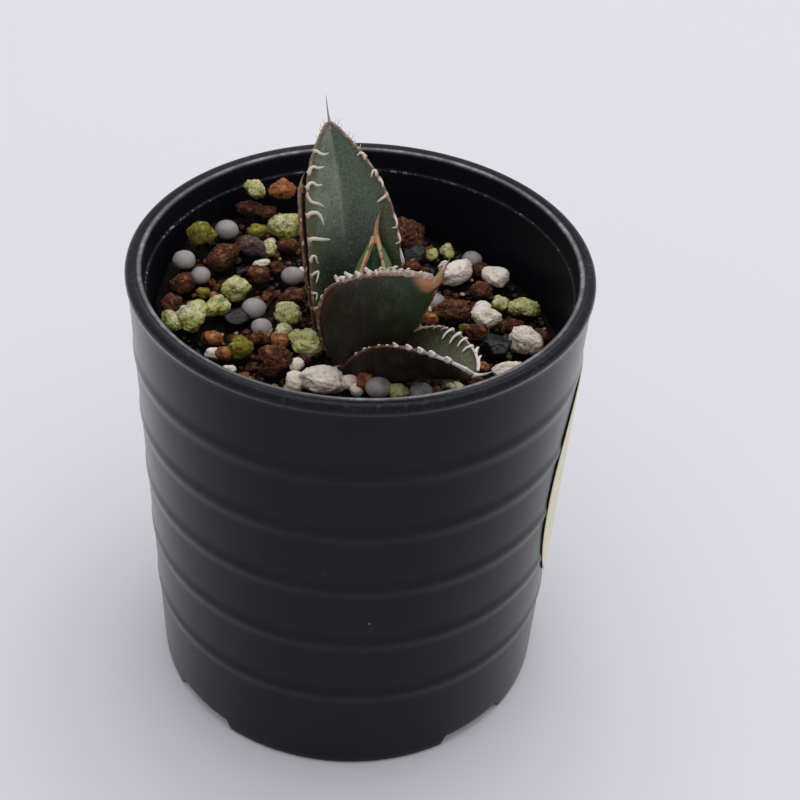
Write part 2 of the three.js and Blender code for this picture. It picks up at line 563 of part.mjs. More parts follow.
// Directions at a margin: the middle of the horny edge, outwards in the leaf's face, along it and off its face.
function marginFrame(leaf, t, sign) {
  const step = Math.min(0.004, 0.3 * (1 - t));
  const along = leafPoint(leaf, t + step, sign, 0).sub(leafPoint(leaf, t - step, sign, 0)).normalize();
  const face = leafNormal(leaf, t, 0.97 * sign, 0);
  const outward = along.clone().cross(face).normalize().multiplyScalar(sign);
  const point = leafPoint(leaf, t, sign, 0);
  point.addScaledVector(outward, -MARGIN_HALF_WIDTH).addScaledVector(face, -BLADE_EDGE_THICKNESS / 2);
  return { point, outward, along, face };
}

// A tapering rod through a list of sections, each with its corners; the ends are closed by fans.
function rod(sections) {
  const corners = sections[0].length;
  const points = sections.flat();
  const faces = [];
  for (let i = 0; i < sections.length - 1; i += 1) {
    for (let j = 0; j < corners; j += 1) {
      const next = (j + 1) % corners;
      const [a, b] = [i * corners + j, i * corners + next];
      faces.push([a, b, b + corners], [a, b + corners, a + corners]);
    }
  }
  const end = (sections.length - 1) * corners;
  for (let j = 1; j < corners - 1; j += 1) {
    faces.push([0, j + 1, j], [end, end + j, end + j + 1]);
  }
  const solid = solidOf(geometryFrom(points, faces));
  return solid.volume() > 0 ? solid : solidOf(geometryFrom(points, faces.map(([a, b, c]) => [a, c, b])));
}

function marginStrip(leaf, sign) {
  const sections = [];
  for (let i = 0; i <= MARGIN_STEPS; i += 1) {
    const left = 1 - (MARGIN_END_SHARE * i) / MARGIN_STEPS;
    const start = leaf.start[sign < 0 ? 0 : 1];
    const t = start + (1 - start) * (1 - left ** 2.5);
    const { point, outward, face } = marginFrame(leaf, t, sign);
    const [w, h] = [MARGIN_HALF_WIDTH, MARGIN_HALF_THICKNESS];
    sections.push([[w, h], [-w, h], [-w, -h], [w, -h]].map(([a, b]) =>
      point.clone().addScaledVector(outward, a).addScaledVector(face, b)));
  }
  return rod(sections);
}

// A curved tooth rooted in the horny edge: it leaves outwards and off the face, then hooks over.
function tooth(leaf, sign, [t, length], [outShare, faceShare, hook], lean) {
  const { point, outward, along, face } = marginFrame(leaf, t, sign);
  const start = outward.clone().multiplyScalar(outShare).addScaledVector(face, faceShare)
    .addScaledVector(along, lean).normalize();
  const sections = [];
  const steps = length > LONG_TOOTH ? 3 : 2;
  for (let i = 0; i <= steps; i += 1) {
    const s = i / steps;
    const centre = point.clone().addScaledVector(start, length * s - 0.1)
      .addScaledVector(outward, 0.5 * hook * length * s * s)
      .addScaledVector(along, -0.25 * length * s * s);
    const radius = TOOTH_BASE_RADIUS * (1 - 0.8 * s) * Math.min(1, 0.5 + length / 4);
    const cross = start.clone().cross(along).normalize();
    sections.push([0, 1, 2].map((k) => {
      const angle = (2 * Math.PI * k) / 3;
      return centre.clone().addScaledVector(along, radius * Math.cos(angle))
        .addScaledVector(cross, radius * Math.sin(angle));
    }));
  }
  return rod(sections);
}

// A short bent bar across the leaf's tip that ties both horny edges to the spine.
function spineFoot(leaf) {
  const tip = leafPoint(leaf, 1, 0, 0);
  const { side, face } = leafFrame(leaf, 1);
  const along = side.clone().cross(face).normalize();
  tip.addScaledVector(along, -MARGIN_HALF_WIDTH).addScaledVector(face, -BLADE_EDGE_THICKNESS / 2);
  const [left, right] = [-1, 1].map((sign) => {
    const { point } = marginFrame(leaf, 1 - MARGIN_END_SETBACK, sign);
    const away = point.clone().sub(tip);
    return point.addScaledVector(away, SPINE_FOOT_REACH / Math.max(away.length(), SPINE_FOOT_REACH));
  });
  const sections = [left, tip, right].map((centre) =>
    [[1, 1], [-1, 1], [-1, -1], [1, -1]].map(([a, b]) =>
      centre.clone().addScaledVector(along, a * MARGIN_HALF_WIDTH)
        .addScaledVector(face, b * MARGIN_HALF_THICKNESS)));
  return rod(sections);
}

// The long needle at the leaf's tip.
function terminalSpine(leaf) {
  const tip = leafPoint(leaf, 1, 0, 0);
  const below = leafPoint(leaf, 0.97, 0, 0);
  const along = tip.clone().sub(below).normalize();
  const { side, face } = leafFrame(leaf, 1);
  const start = tip.clone().addScaledVector(along, -1).addScaledVector(face, -0.35);
  const length = leaf.spine + 1;
  const sections = [];
  for (let i = 0; i <= 4; i += 1) {
    const s = i / 4;
    const centre = start.clone().addScaledVector(along, length * s)
      .addScaledVector(side, leaf.spineTurn[0] * length * s * s)
      .addScaledVector(face, leaf.spineTurn[1] * length * s * s);
    const radius = SPINE_BASE_RADIUS * (1 - s) ** 0.8 + 0.09;
    sections.push([0, 1, 2, 3, 4].map((k) => {
      const angle = (2 * Math.PI * k) / 5;
      return centre.clone().addScaledVector(side, radius * Math.cos(angle))
        .addScaledVector(face, radius * Math.sin(angle));
    }));
  }
  return rod(sections);
}

// Horny margin, teeth and terminal spine of one leaf, grown together and kept clear of the given rooms.
function margin(leaf, seed, rooms) {
  const random = randomStream(seed);
  const pieces = [marginStrip(leaf, -1), marginStrip(leaf, 1), spineFoot(leaf), terminalSpine(leaf)];
  [-1, 1].forEach((sign, half) => {
    for (const row of leaf.teeth[half]) {
      pieces.push(tooth(leaf, sign, row, leaf.reach[half], 0.5 * random() - 0.25));
    }
  });
  return largestBody(less(joined(pieces), [blade(leaf, EDGE_GAP), ...rooms]));
}

function meshOf(name, solid, look) {
  const mesh = new THREE.Mesh(geometryOf(solid), new THREE.MeshStandardMaterial({ metalness: 0, ...look }));
  mesh.name = name;
  return mesh;
}

const group = new THREE.Group();
const plant = new THREE.Group();
const rooms = Object.fromEntries(Object.entries(LEAVES).map(([name, leaf]) => [name, blade(leaf, GAP)]));
Object.entries(LEAVES).forEach(([name, leaf], order) => {
  const inner = leaf.outside.map((other) => rooms[other]);
  plant.add(meshOf(name, largestBody(less(blade(leaf, 0), inner)), COLOURS.blade));
  plant.add(meshOf(`${name}_margin`, margin(leaf, 7 + order, inner), COLOURS.margin));
});
plant.add(meshOf("stem", largestBody(less(stemSolid(0), Object.values(rooms))), COLOURS.stem));
group.add(meshOf("pot", pot(), COLOURS.pot));
group.add(meshOf("label", label(), COLOURS.label));
group.add(meshOf("potting_mix", pottingMix([stemSolid(GAP), ...Object.values(rooms)]), COLOURS.mix));
group.add(plant);

export default group;
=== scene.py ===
# %% [markdown]
# # A potted agave seedling
#
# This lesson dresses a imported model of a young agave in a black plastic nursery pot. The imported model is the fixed
# frame: it says where each piece stands. Every piece here is a surface worked out with numpy in the same place, with
# finer edges, teeth, grains and finishes. Sizes are in millimetres, as a grower would measure them, and become metres
# where a mesh is made.

# %% Start: load the frame
import functools

import bmesh
import bpy
import numpy as np
from mathutils import Matrix, Quaternion


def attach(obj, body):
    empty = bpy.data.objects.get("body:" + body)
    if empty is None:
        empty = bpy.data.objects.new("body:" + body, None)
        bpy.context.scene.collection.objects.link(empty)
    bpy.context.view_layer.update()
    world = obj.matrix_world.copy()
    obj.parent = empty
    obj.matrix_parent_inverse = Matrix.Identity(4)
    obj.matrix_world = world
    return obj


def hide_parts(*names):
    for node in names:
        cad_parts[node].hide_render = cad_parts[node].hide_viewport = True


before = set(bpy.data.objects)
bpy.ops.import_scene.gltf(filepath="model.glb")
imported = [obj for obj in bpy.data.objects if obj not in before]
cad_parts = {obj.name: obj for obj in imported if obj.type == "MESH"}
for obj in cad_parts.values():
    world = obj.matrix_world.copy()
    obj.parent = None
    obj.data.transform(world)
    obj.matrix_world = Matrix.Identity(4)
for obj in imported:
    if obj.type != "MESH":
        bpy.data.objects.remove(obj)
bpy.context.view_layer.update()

MM = 0.001
print("nodes:", sorted(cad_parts))

# %% [markdown]
# ## Camera
#
# The photograph looks down on the pot at about 34 degrees through a lens of 75 mm. The camera stands in front of the
# pot, towards -Y, and is turned a little about its own axis. It is made from its directions, because they say
# exactly which way it looks.

# %% Camera
CAMERA_PLACE = np.array([0.0, -236.124, 246.793])
CAMERA_RIGHT = (0.99896133, 0.00317294, 0.04545549)
CAMERA_UP = (-0.03745603, 0.62526373, 0.77951415)
CAMERA_LENS, CAMERA_SENSOR = 75.0, 36.0


def new_object(name, data):
    """Puts an object with this data into the scene, at the origin."""
    made = bpy.data.objects.new(name, data)
    bpy.context.scene.collection.objects.link(made)
    return made


def standing(right, up, place):
    """A matrix whose columns are the right, up and backward directions and the place, in metres."""
    columns = (right, up, np.cross(right, up), place)
    return Matrix([[float(c[row]) for c in columns] for row in range(3)] + [[0, 0, 0, 1]])


def make_camera():
    data = bpy.data.cameras.new("camera")
    data.lens, data.sensor_width = CAMERA_LENS, CAMERA_SENSOR
    data.clip_start, data.clip_end = 0.01, 20.0
    camera = new_object("camera", data)
    camera.matrix_world = standing(CAMERA_RIGHT, CAMERA_UP, CAMERA_PLACE * MM)
    bpy.context.scene.camera = camera


make_camera()
print("camera, in millimetres:", CAMERA_PLACE)

# %% [markdown]
# ## Tools for shapes
#
# Nearly every piece is a grid of points: rings along a path, or rows across a blade. A `Form` gathers such grids, and
# lumps made from a divided icosahedron, into one mesh. Numbers that the finishes need later, such as how pale a grain
# is, are kept with the points as attributes.

# %% Random draws and noise
def random_stream(seed):
    """Gives the same seeded numbers from 0 to 1 as the frame's source, so drawn grains lie in the same places."""
    state = seed & 0xFFFFFFFF

    def draw():
        nonlocal state
        state = (state + 0x6D2B79F5) & 0xFFFFFFFF
        mixed = ((state ^ (state >> 15)) * (state | 1)) & 0xFFFFFFFF
        stirred = (mixed + (((mixed ^ (mixed >> 7)) * (mixed | 61)) & 0xFFFFFFFF)) & 0xFFFFFFFF
        mixed ^= stirred
        return ((mixed ^ (mixed >> 14)) & 0xFFFFFFFF) / 4294967296

    return draw


def smooth(share):
    """3u^2 - 2u^3: runs from 0 to 1 with level ends."""
    return share * share * (3 - 2 * share)


def part_way(ends, share):
    """A value between two ends, in proportion to the share."""
    return ends[0] + (ends[1] - ends[0]) * share


def lattice(cell, seed):
    """A scrambled number from -1 to 1 for each whole-number cell: odd multiples, folded by xor and shift."""
    x, y, z = (cell[..., k].astype(np.int64) for k in range(3))
    mixed = (x * 374761393 + y * 668265263 + z * 1442695041 + seed * 1013904223) & 0xFFFFFFFF
    mixed = ((mixed ^ (mixed >> 13)) * 1274126177) & 0xFFFFFFFF
    return ((mixed ^ (mixed >> 16)) & 0xFFFF) / 32767.5 - 1


def noise(points, seed):
    """The scrambled numbers of the eight nearest cells, blended by a smooth step along each axis."""
    cell = np.floor(points)
    u = smooth(points - cell)
    total = np.zeros(points.shape[:-1])
    for corner in np.ndindex(2, 2, 2):
        weight = np.prod(np.where(corner, u, 1 - u), axis=-1)
        total += weight * lattice(cell + np.array(corner), seed)
    return total


# %% A form: many grids and lumps in one mesh
class Form:
    """Gathers points in millimetres, their faces and named numbers per point, and makes one mesh of them."""

    def __init__(self):
        self.points, self.faces, self.numbers, self.count = [], [], [], 0

    def add(self, points, faces, **numbers):
        """Adds points, and faces that count from the first of them."""
        self.points.append(points)
        self.faces.extend(block + self.count for block in faces)
        self.numbers.append({key: np.broadcast_to(value, len(points)) for key, value in numbers.items()})
        self.count += len(points)

    def grid(self, points, closed=False, **numbers):
        """Rings of points: fans close the first and last ring, or closed joins the last ring to the first."""
        rows, columns = points.shape[:2]
        index = np.arange(rows * columns).reshape(rows, columns)
        current = np.concatenate([index, index[:1]]) if closed else index
        following = np.roll(current, -1, axis=1)
        quads = np.stack([current[:-1], following[:-1], following[1:], current[1:]], -1).reshape(-1, 4)
        blocks = [quads]
        numbers = {key: np.broadcast_to(value, (rows, columns)).ravel() for key, value in numbers.items()}
        flat = points.reshape(-1, 3)
        if not closed:
            flat = np.concatenate([flat, [points[0].mean(0), points[-1].mean(0)]])
            first, last = rows * columns, rows * columns + 1
            blocks.append(np.stack([following[0], current[0], np.full(current.shape[1], first)], -1))
            blocks.append(np.stack([current[-1], following[-1], np.full(current.shape[1], last)], -1))
            numbers = {key: np.concatenate([value, [value[:columns].mean(), value[-columns:].mean()]])
                       for key, value in numbers.items()}
        self.add(flat, blocks, **numbers)
        return self

    def mesh(self, name):
        """The points in metres and their faces, as a mesh with smooth shading."""
        mesh = bpy.data.meshes.new(name)
        faces = [row for block in self.faces for row in block.tolist()]
        mesh.from_pydata(np.concatenate(self.points) * MM, [], faces, shade_flat=False)
        mesh.validate()
        return mesh

    def make(self, name, finish, node):
        """Makes the piece with its numbers and finish, and hides the frame's node that it stands for."""
        mesh = self.mesh(name)
        for key in self.numbers[0]:
            values = np.concatenate([block[key] for block in self.numbers])
            mesh.attributes.new(key, "FLOAT", "POINT").data.foreach_set("value", values)
        mesh.materials.append(finish)
        piece = new_object(name, mesh)
        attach(piece, "root")
        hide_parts(node)
        print(name, "faces:", len(mesh.polygons))
        return piece


# %% Lathes, sweeps and lumps
def rounded(profile, times):
    """Cuts every corner of an open profile at a quarter and three quarters of its sides, again and again."""
    profile = np.asarray(profile, float)
    for _ in range(times):
        a, b = profile[:-1], profile[1:]
        cut = np.stack([0.75 * a + 0.25 * b, 0.25 * a + 0.75 * b], 1).reshape(-1, 2)
        profile = np.concatenate([profile[:1], cut, profile[-1:]])
    return profile


def lathe(profile, sides):
    """Turns (radius, height) points about the vertical axis: x = r cos a, y = r sin a."""
    angle = np.linspace(0, 2 * np.pi, sides, endpoint=False)
    radius, height = np.asarray(profile, float).T
    return np.stack([radius[:, None] * np.cos(angle), radius[:, None] * np.sin(angle),
                     np.broadcast_to(height[:, None], (len(height), sides))], -1)


def unit(vectors):
    return vectors / np.maximum(np.linalg.norm(vectors, axis=-1, keepdims=True), 1e-12)


def sweep(path, reference, wide, thick, corners):
    """Carries an ellipse along a path: its wide axis is the reference direction made square to the path."""
    tangent = unit(np.gradient(path, axis=0))
    reference = np.broadcast_to(reference, path.shape)
    u = unit(reference - (reference * tangent).sum(-1, keepdims=True) * tangent)
    w = np.cross(tangent, u)
    angle = np.linspace(0, 2 * np.pi, corners, endpoint=False)
    return (path[:, None] + (wide[:, None] * np.cos(angle))[..., None] * u[:, None]
            + (thick[:, None] * np.sin(angle))[..., None] * w[:, None])


@functools.cache
def sphere(level):
    """Directions and triangles of an icosahedron that has been divided level times, worked out once for each."""
    ball = bmesh.new()
    bmesh.ops.create_icosphere(ball, subdivisions=level, radius=1)
    directions = np.array([v.co[:] for v in ball.verts])
    triangles = np.array([[v.index for v in f.verts] for f in ball.faces])
    ball.free()
    return unit(directions), triangles


# %% [markdown]
# ## Tools for finishes
#
# A finish is a tree of shader nodes. Written node by node it is hard to read, so one small class wraps a socket and
# lets Python's operators add the Math nodes. A colour goes through Mix nodes, because a Math node would turn it grey.

# %% Shader maths
class Socket:
    """One output of a node. Adding, multiplying and so on adds a Math node and gives its output."""

    def __init__(self, finish, output):
        self.finish, self.output = finish, output

    def math(self, operation, *values):
        return self.finish.node("ShaderNodeMath", {"operation": operation}, dict(enumerate(values)))

    def __add__(self, other):
        return self.math("ADD", self, other)

    def __sub__(self, other):
        return self.math("SUBTRACT", self, other)

    def __rsub__(self, other):
        return self.math("SUBTRACT", other, self)

    def __mul__(self, other):
        return self.math("MULTIPLY", self, other)

    def __pow__(self, other):
        return self.math("POWER", self, other)

    def __abs__(self):
        return self.math("ABSOLUTE", self)

    __radd__ = __add__
    __rmul__ = __mul__

    def above(self, low, high):
        """0 below low, 1 above high, and smooth between; swapped limits give the reverse."""
        return self.finish.node("ShaderNodeMapRange", {"interpolation_type": "SMOOTHSTEP", "clamp": True},
                                {"Value": self, "From Min": low, "From Max": high})

    def near(self, middle, reach):
        """1 at a value and 0 farther from it than reach."""
        return abs(self - middle).above(reach, 0.0)


def colour(red, green, blue):
    """A colour as on a screen, from 0 to 255, in the linear values that shaders use."""
    share = np.array([red, green, blue]) / 255
    linear = np.where(share <= 0.04045, share / 12.92, ((share + 0.055) / 1.055) ** 2.4)
    return (*map(float, linear), 1.0)


class Finish:
    """A material built on one Principled shader."""

    def __init__(self, name, **constants):
        self.material = bpy.data.materials.new(name)
        self.material.use_nodes = True
        self.tree = self.material.node_tree
        self.shader = self.tree.nodes["Principled BSDF"]
        for key, value in constants.items():
            self.shader.inputs[key.replace("_", " ")].default_value = value
        self.place = self.node("ShaderNodeTexCoord", {}, {}, "Object")

    def node(self, kind, settings, values, output=0):
        """Adds a node: its settings first, then the values or links of its sockets, and gives one output."""
        made = self.tree.nodes.new(kind)
        for key, value in settings.items():
            setattr(made, key, value)
        for key, value in values.items():
            if isinstance(value, Socket):
                self.tree.links.new(value.output, made.inputs[key])
            else:
                made.inputs[key].default_value = value
        return Socket(self, made.outputs[output])

    def number(self, name):
        return self.node("ShaderNodeAttribute", {"attribute_name": name}, {}, "Fac")

    def noise(self, scale, detail=3.0, roughness=0.55, stretch=None, distortion=0.0):
        """Noise on the piece's own coordinates: scale is in cells per metre, and stretch squeezes it by axis."""
        vector = self.place
        if stretch:
            vector = self.node("ShaderNodeMapping", {}, {"Vector": self.place, "Scale": stretch})
        return self.node("ShaderNodeTexNoise", {}, {"Vector": vector, "Scale": scale, "Detail": detail,
                                                    "Roughness": roughness, "Distortion": distortion})

    def axis(self, index):
        """One coordinate of the place, in metres."""
        return self.node("ShaderNodeSeparateXYZ", {}, {0: self.place}, index)

    def blend(self, factor, first, second):
        """Mixes two colours; each is a link, or red, green and blue as on a screen."""
        first, second = (shade if isinstance(shade, Socket) else colour(*shade) for shade in (first, second))
        return self.node("ShaderNodeMix", {"data_type": "RGBA"}, {0: factor, 6: first, 7: second}, 2)

    def layers(self, base, *coats):
        """Lays coats over a base, one after another; each is its mask and its colour."""
        for mask, shade in coats:
            base = self.blend(mask, base, shade)
        return base

    def wear(self, **links):
        """Joins what varies to the shader; relief is a list of (height, distance) pairs that feed Bump nodes."""
        normal = None
        for height, distance in links.pop("relief", []):
            values = {"Height": height, "Distance": distance, "Strength": 1.0}
            if normal:
                values["Normal"] = normal
            normal = self.node("ShaderNodeBump", {}, values)
        if normal:
            self.tree.links.new(normal.output, self.shader.inputs["Normal"])
        for key, link in links.items():
            self.tree.links.new(link.output, self.shader.inputs[key.replace("_", " ")])
        return self.material


# %% [markdown]
# ## Pot
#
# The pot is one moulded piece of black plastic: a slightly tapered wall with five soft rings, a rolled lip with a
# groove on top, a ledge under the lip and shallow notches in the foot. One profile turned about the axis gives all
# of that but the notches, for which the lowest points are lifted by their angle.

# %% Pot: sizes and profile
POT_HEIGHT = 88.0
WALL_TOP_RADIUS, WALL_FOOT_RADIUS = 39.7, 36.6
RIB_HEIGHTS = np.array([19.5, 33.3, 46.8, 59.8, 72.8])
RIB_RISE, RIB_HALF_HEIGHT = 0.22, 2.2
LEDGE_HEIGHT, LEDGE_INNER_RADIUS = 83.8, 36.4
INNER_FOOT_RADIUS, FLOOR_TOP = 33.4, 4.0
FOOT_NOTCH_ANGLES = np.array([-48.0, -138.0, 132.0, 42.0])
FOOT_NOTCH_WIDTH, FOOT_NOTCH_HEIGHT, FOOT_NOTCH_FADE, NOTCH_SIDE_DEGREES = 15.0, 1.9, 6.0, 1.3
FOOT_RING_INSIDE = 33.0
WALL_START, WALL_END, WALL_ROWS, WALL_SIDES = 1.2, 85.4, 124, 240
INSIDE_START, INSIDE_END = 82.8, 6.2


def outer_radius(z):
    """The wall's outer radius grows evenly from foot to rim."""
    return part_way((WALL_FOOT_RADIUS, WALL_TOP_RADIUS), z / POT_HEIGHT)


def inner_radius(z):
    """The inside grows evenly from the floor to the ledge."""
    return part_way((INNER_FOOT_RADIUS, LEDGE_INNER_RADIUS), (z - FLOOR_TOP) / (LEDGE_HEIGHT - FLOOR_TOP))


def ribbed_wall():
    """Outer radius at fine heights: the taper plus a raised cosine at each ring."""
    z = np.linspace(WALL_START, WALL_END, WALL_ROWS)
    away = np.abs(z[:, None] - RIB_HEIGHTS) / RIB_HALF_HEIGHT
    rise = RIB_RISE * np.where(away < 1, 0.5 + 0.5 * np.cos(np.pi * away), 0).sum(1)
    return np.stack([outer_radius(z) + rise, z], -1)


RIM = rounded([(39.61, WALL_END), (39.66, 85.9), (39.8, 86.2), (40.0, 86.7), (40.0, 87.15), (39.85, 87.65),
               (39.45, 87.95), (38.95, 88.0), (38.6, 87.95), (38.4, 87.86), (38.25, 87.8), (38.1, 87.8),
               (37.95, 87.84), (37.8, 87.86), (37.4, 87.82), (37.12, 87.6), (37.04, 87.1), (36.98, 85.6),
               (36.94, 84.6), (36.9, 84.15), (36.78, 83.95), (36.5, 83.85), (36.4, 83.6), (36.36, INSIDE_START)], 2)
FOOT = rounded([(31.0, 2.0), (33.4, 2.0), (33.6, 1.6), (33.7, 0.0), (35.9, 0.0), (36.5, 0.35),
                (36.62, WALL_START)], 2)
INSIDE_HEIGHTS = np.linspace(INSIDE_START, INSIDE_END, 24)
INSIDE = np.stack([inner_radius(INSIDE_HEIGHTS), INSIDE_HEIGHTS], -1)
FLOOR_EDGE = rounded([(33.45, INSIDE_END), (33.35, 4.8), (32.6, 4.05), (31.0, 4.0)], 2)
print("lip points:", len(RIM), "foot points:", len(FOOT))


# %% Pot: wall
def make_pot(finish):
    """The wall, lip and foot ring as one lathe, whose lowest points are lifted where a notch is."""
    profile = np.concatenate([FOOT, ribbed_wall()[1:], RIM[1:], INSIDE[1:], FLOOR_EDGE[1:]])
    points = lathe(profile, WALL_SIDES)
    angle = np.degrees(np.arctan2(points[..., 1], points[..., 0]))
    away = np.abs((angle[..., None] - FOOT_NOTCH_ANGLES + 180) % 360 - 180).min(-1)
    half = np.degrees(0.5 * FOOT_NOTCH_WIDTH / WALL_FOOT_RADIUS)
    notch = smooth(np.clip((half - away) / NOTCH_SIDE_DEGREES, 0, 1))
    radius = np.hypot(points[..., 0], points[..., 1])
    low = np.clip(1 - points[..., 2] / FOOT_NOTCH_FADE, 0, 1) * (radius > FOOT_RING_INSIDE)
    points[..., 2] += FOOT_NOTCH_HEIGHT * notch * low
    Form().grid(points, closed=True).make("pot_wall", finish, "pot")


# %% [markdown]
# The floor's drain holes are hidden under the pot, but someone will turn the part over. They are drilled with
# Blender's Boolean modifier, because round holes through a disc are its plainest use. The result is kept as a mesh.

# %% Pot: drilled floor
MIDDLE_HOLE_RADIUS, DRAIN_HOLE_RADIUS, DRAIN_RING_RADIUS = 4.0, 3.5, 19.0
DISC_SIDES, HOLE_SIDES = 128, 48
DRAIN_HOLE_ANGLES = np.radians(15 + 60 * np.arange(6))


def make_pot_floor(finish):
    """A disc with rounded edges, turned about its middle hole, less one cylinder for each hole round it."""
    inner = MIDDLE_HOLE_RADIUS
    disc = rounded([(inner, 3.0), (inner, 2.2), (inner + 0.2, 2.0), (31.6, 2.0), (31.9, 2.3), (31.9, 3.7),
                    (31.6, 4.0), (inner + 0.2, 4.0), (inner, 3.8), (inner, 3.0)], 1)
    floor = Form().grid(lathe(disc[:-1], DISC_SIDES), closed=True).make("pot_floor", finish, "pot")
    cutter = Form()
    column = lathe([(DRAIN_HOLE_RADIUS, 0.5), (DRAIN_HOLE_RADIUS, 5.5)], HOLE_SIDES)
    for angle in DRAIN_HOLE_ANGLES:
        cutter.grid(column + DRAIN_RING_RADIUS * np.array([np.cos(angle), np.sin(angle), 0.0]))
    drill = new_object("drill", cutter.mesh("drill"))
    drilling = floor.modifiers.new("drill", "BOOLEAN")
    drilling.operation, drilling.solver, drilling.object = "DIFFERENCE", "MANIFOLD", drill
    drilled = bpy.data.meshes.new_from_object(floor.evaluated_get(bpy.context.evaluated_depsgraph_get()))
    floor.modifiers.clear()
    floor.data = drilled
    bpy.data.objects.remove(drill)
    drilled.polygons.foreach_set("use_smooth", np.zeros(len(drilled.polygons), bool))


# %% Pot: finish
# Specks on the wall: place in millimetres, and grey as on a screen
SPECKS = (((-4.2, -38.2, 50.5), 39), ((19.6, -33.0, 49.6), 0), ((27.2, -26.9, 47.2), 0),
          ((19.1, -32.5, 31.5), 0), ((3.6, -37.8, 38.8), 97))
SPECK_RADIUS = 0.00032
# In metres: the radius of the lip's inner edge and the ledge's height, and how far the wear, and on the lip the
# painted highlight, reaches from each
LIP_EDGE_RADIUS, LIP_EDGE_REACH, LEDGE_PLACE, LEDGE_REACH = 0.0376, 0.00058, 0.0839, 0.0002


def black_plastic():
    """Near-black satin with a fine moulded grain, paler scuffs on the ledge, and on the lip's inner edge a pale band
    that is partly scuffs and partly painted highlight.
    """
    finish = Finish("black_plastic", Specular_IOR_Level=0.14, Coat_Roughness=0.28)
    radius = (finish.axis(0) ** 2 + finish.axis(1) ** 2) ** 0.5
    height = finish.axis(2)
    lip_scuff_and_highlight = radius.near(LIP_EDGE_RADIUS, LIP_EDGE_REACH) * height.above(0.0871, 0.0876)
    ledge = height.near(LEDGE_PLACE, LEDGE_REACH) * radius.above(0.0371, 0.0369)
    streak = finish.noise(210, 4, 0.7).above(0.4, 0.68)
    scuff = finish.noise(1100, 4, 0.75).above(0.5, 0.66)
    rim_scuff = height.above(0.0862, 0.0872) * radius.above(0.0378, 0.0382) * scuff * streak * 0.06
    # On the lip's inner edge, worn is partly scuffs and partly a painted highlight: its even share of 0.26 pales the
    # whole band.
    worn = lip_scuff_and_highlight * (0.26 + 0.3 * streak + 0.44 * streak * scuff) + ledge * streak * scuff + rim_scuff
    dust = finish.noise(420, 2, 0.5).above(0.68, 0.86) * 0.03
    base = finish.layers((17, 18, 25), (dust, (110, 110, 116)), (worn, (196, 196, 202)))
    for place, grey in SPECKS:
        away = finish.node("ShaderNodeVectorMath", {"operation": "DISTANCE"},
                           {0: finish.place, 1: [x * MM for x in place]}, "Value")
        base = finish.blend(away.above(SPECK_RADIUS, 0.4 * SPECK_RADIUS), base, (grey, grey, grey))
    inside = (radius - 0.0363 * height).above(0.0352, 0.0346)
    rough = 0.22 + 0.08 * finish.noise(140, 2) + 0.2 * inside
    grazing = finish.node("ShaderNodeLayerWeight", {}, {"Blend": 0.5}, "Facing").above(0.3, 0.95)
    sheen = (0.2 + 4.1 * height) * grazing * (1.0 - inside)
    return finish.wear(Base_Color=base, Roughness=rough, Coat_Weight=sheen,
                       relief=[(finish.noise(1900, 2, 0.6), 0.00003), (finish.noise(90, 2), 0.00008)])


plastic = black_plastic()
make_pot(plastic)
make_pot_floor(plastic)

# %% [markdown]
# ## Label
#
# A pale-yellow oval sticker bridges the rings at the right of the wall, and it is blank. It is a grid over an
# ellipse, wrapped round a cone a little wider than the wall, with its thickness between two such grids.

# %% Label
LABEL_WIDTH, LABEL_LENGTH, LABEL_MIDDLE, LABEL_ANGLE = 28.0, 49.0, 47.6, -5.0
LABEL_THICKNESS, LABEL_CLEARANCE, LABEL_CURL = 0.14, 0.27, 0.04
LABEL_COLUMNS, LABEL_ROWS = 40, 100


def make_label(finish):
    """Rows of an ellipse: half width W cos q at height H sin q; x across goes to the angle x / r on the cone."""
    q = np.linspace(-np.pi / 2, np.pi / 2, LABEL_ROWS)
    share = np.linspace(-1, 1, LABEL_COLUMNS)
    x = LABEL_WIDTH / 2 * np.maximum(np.cos(q), 0.01)[:, None] * share
    z = LABEL_MIDDLE + LABEL_LENGTH / 2 * np.sin(q)[:, None] + 0 * x
    edge = np.maximum(np.abs(share)[None, :], np.abs(np.sin(q))[:, None] ** 3)
    curl = LABEL_CURL * np.clip(edge - 0.8, 0, 1) / 0.2 * (0.6 + 0.4 * np.sin(z / 2.6))
    sides = []
    for depth in (LABEL_THICKNESS - curl, -curl):
        radius = outer_radius(z) + LABEL_CLEARANCE + depth
        angle = np.radians(LABEL_ANGLE) + x / (outer_radius(z) + LABEL_CLEARANCE)
        sides.append(np.stack([radius * np.cos(angle), radius * np.sin(angle), z], -1))
    Form().grid(np.concatenate([sides[0], sides[1][:, ::-1]], 1)).make("blank_label", finish, "label")


def label_paper():
    finish = Finish("label_paper", Roughness=0.5, Specular_IOR_Level=0.4)
    fibre = finish.noise(900, 4, 0.6, (1, 1, 0.3))
    stain = finish.noise(60, 3, 0.6).above(0.45, 0.75)
    base = finish.blend(stain * 0.3, (233, 229, 196), (222, 216, 168))
    return finish.wear(Base_Color=base, relief=[(fibre, 0.00003)])


make_label(label_paper())

# %% [markdown]
# ## Potting mix
#
# The mix is coarse grit: pale pumice, some of it tinted green by algae, fired brown clay, lava, charcoal and smooth
# grey fertiliser beads. The grains that the photograph shows are listed by kind with their place, size and turn. The
# ones between them come from the same seeded rule as in the frame. Each grain is a divided icosahedron whose points
# are pushed in and out by a rule for its kind: knobs on pumice, broken faces on clay, almost none on beads.

# %% Mix: where its surface lies
MIX_LEVEL, MIX_SLOPE = 72.8, 0.05
# Rows: x, y, height and spread
HEAPS = ((-27.0, 20.0, 6.5, 14.0), (4.5, -23.5, 3.6, 8.5))
STEM_X, STEM_Y = -1.4, -7.6
GRAIN_HEIGHT_SHARE = 0.85


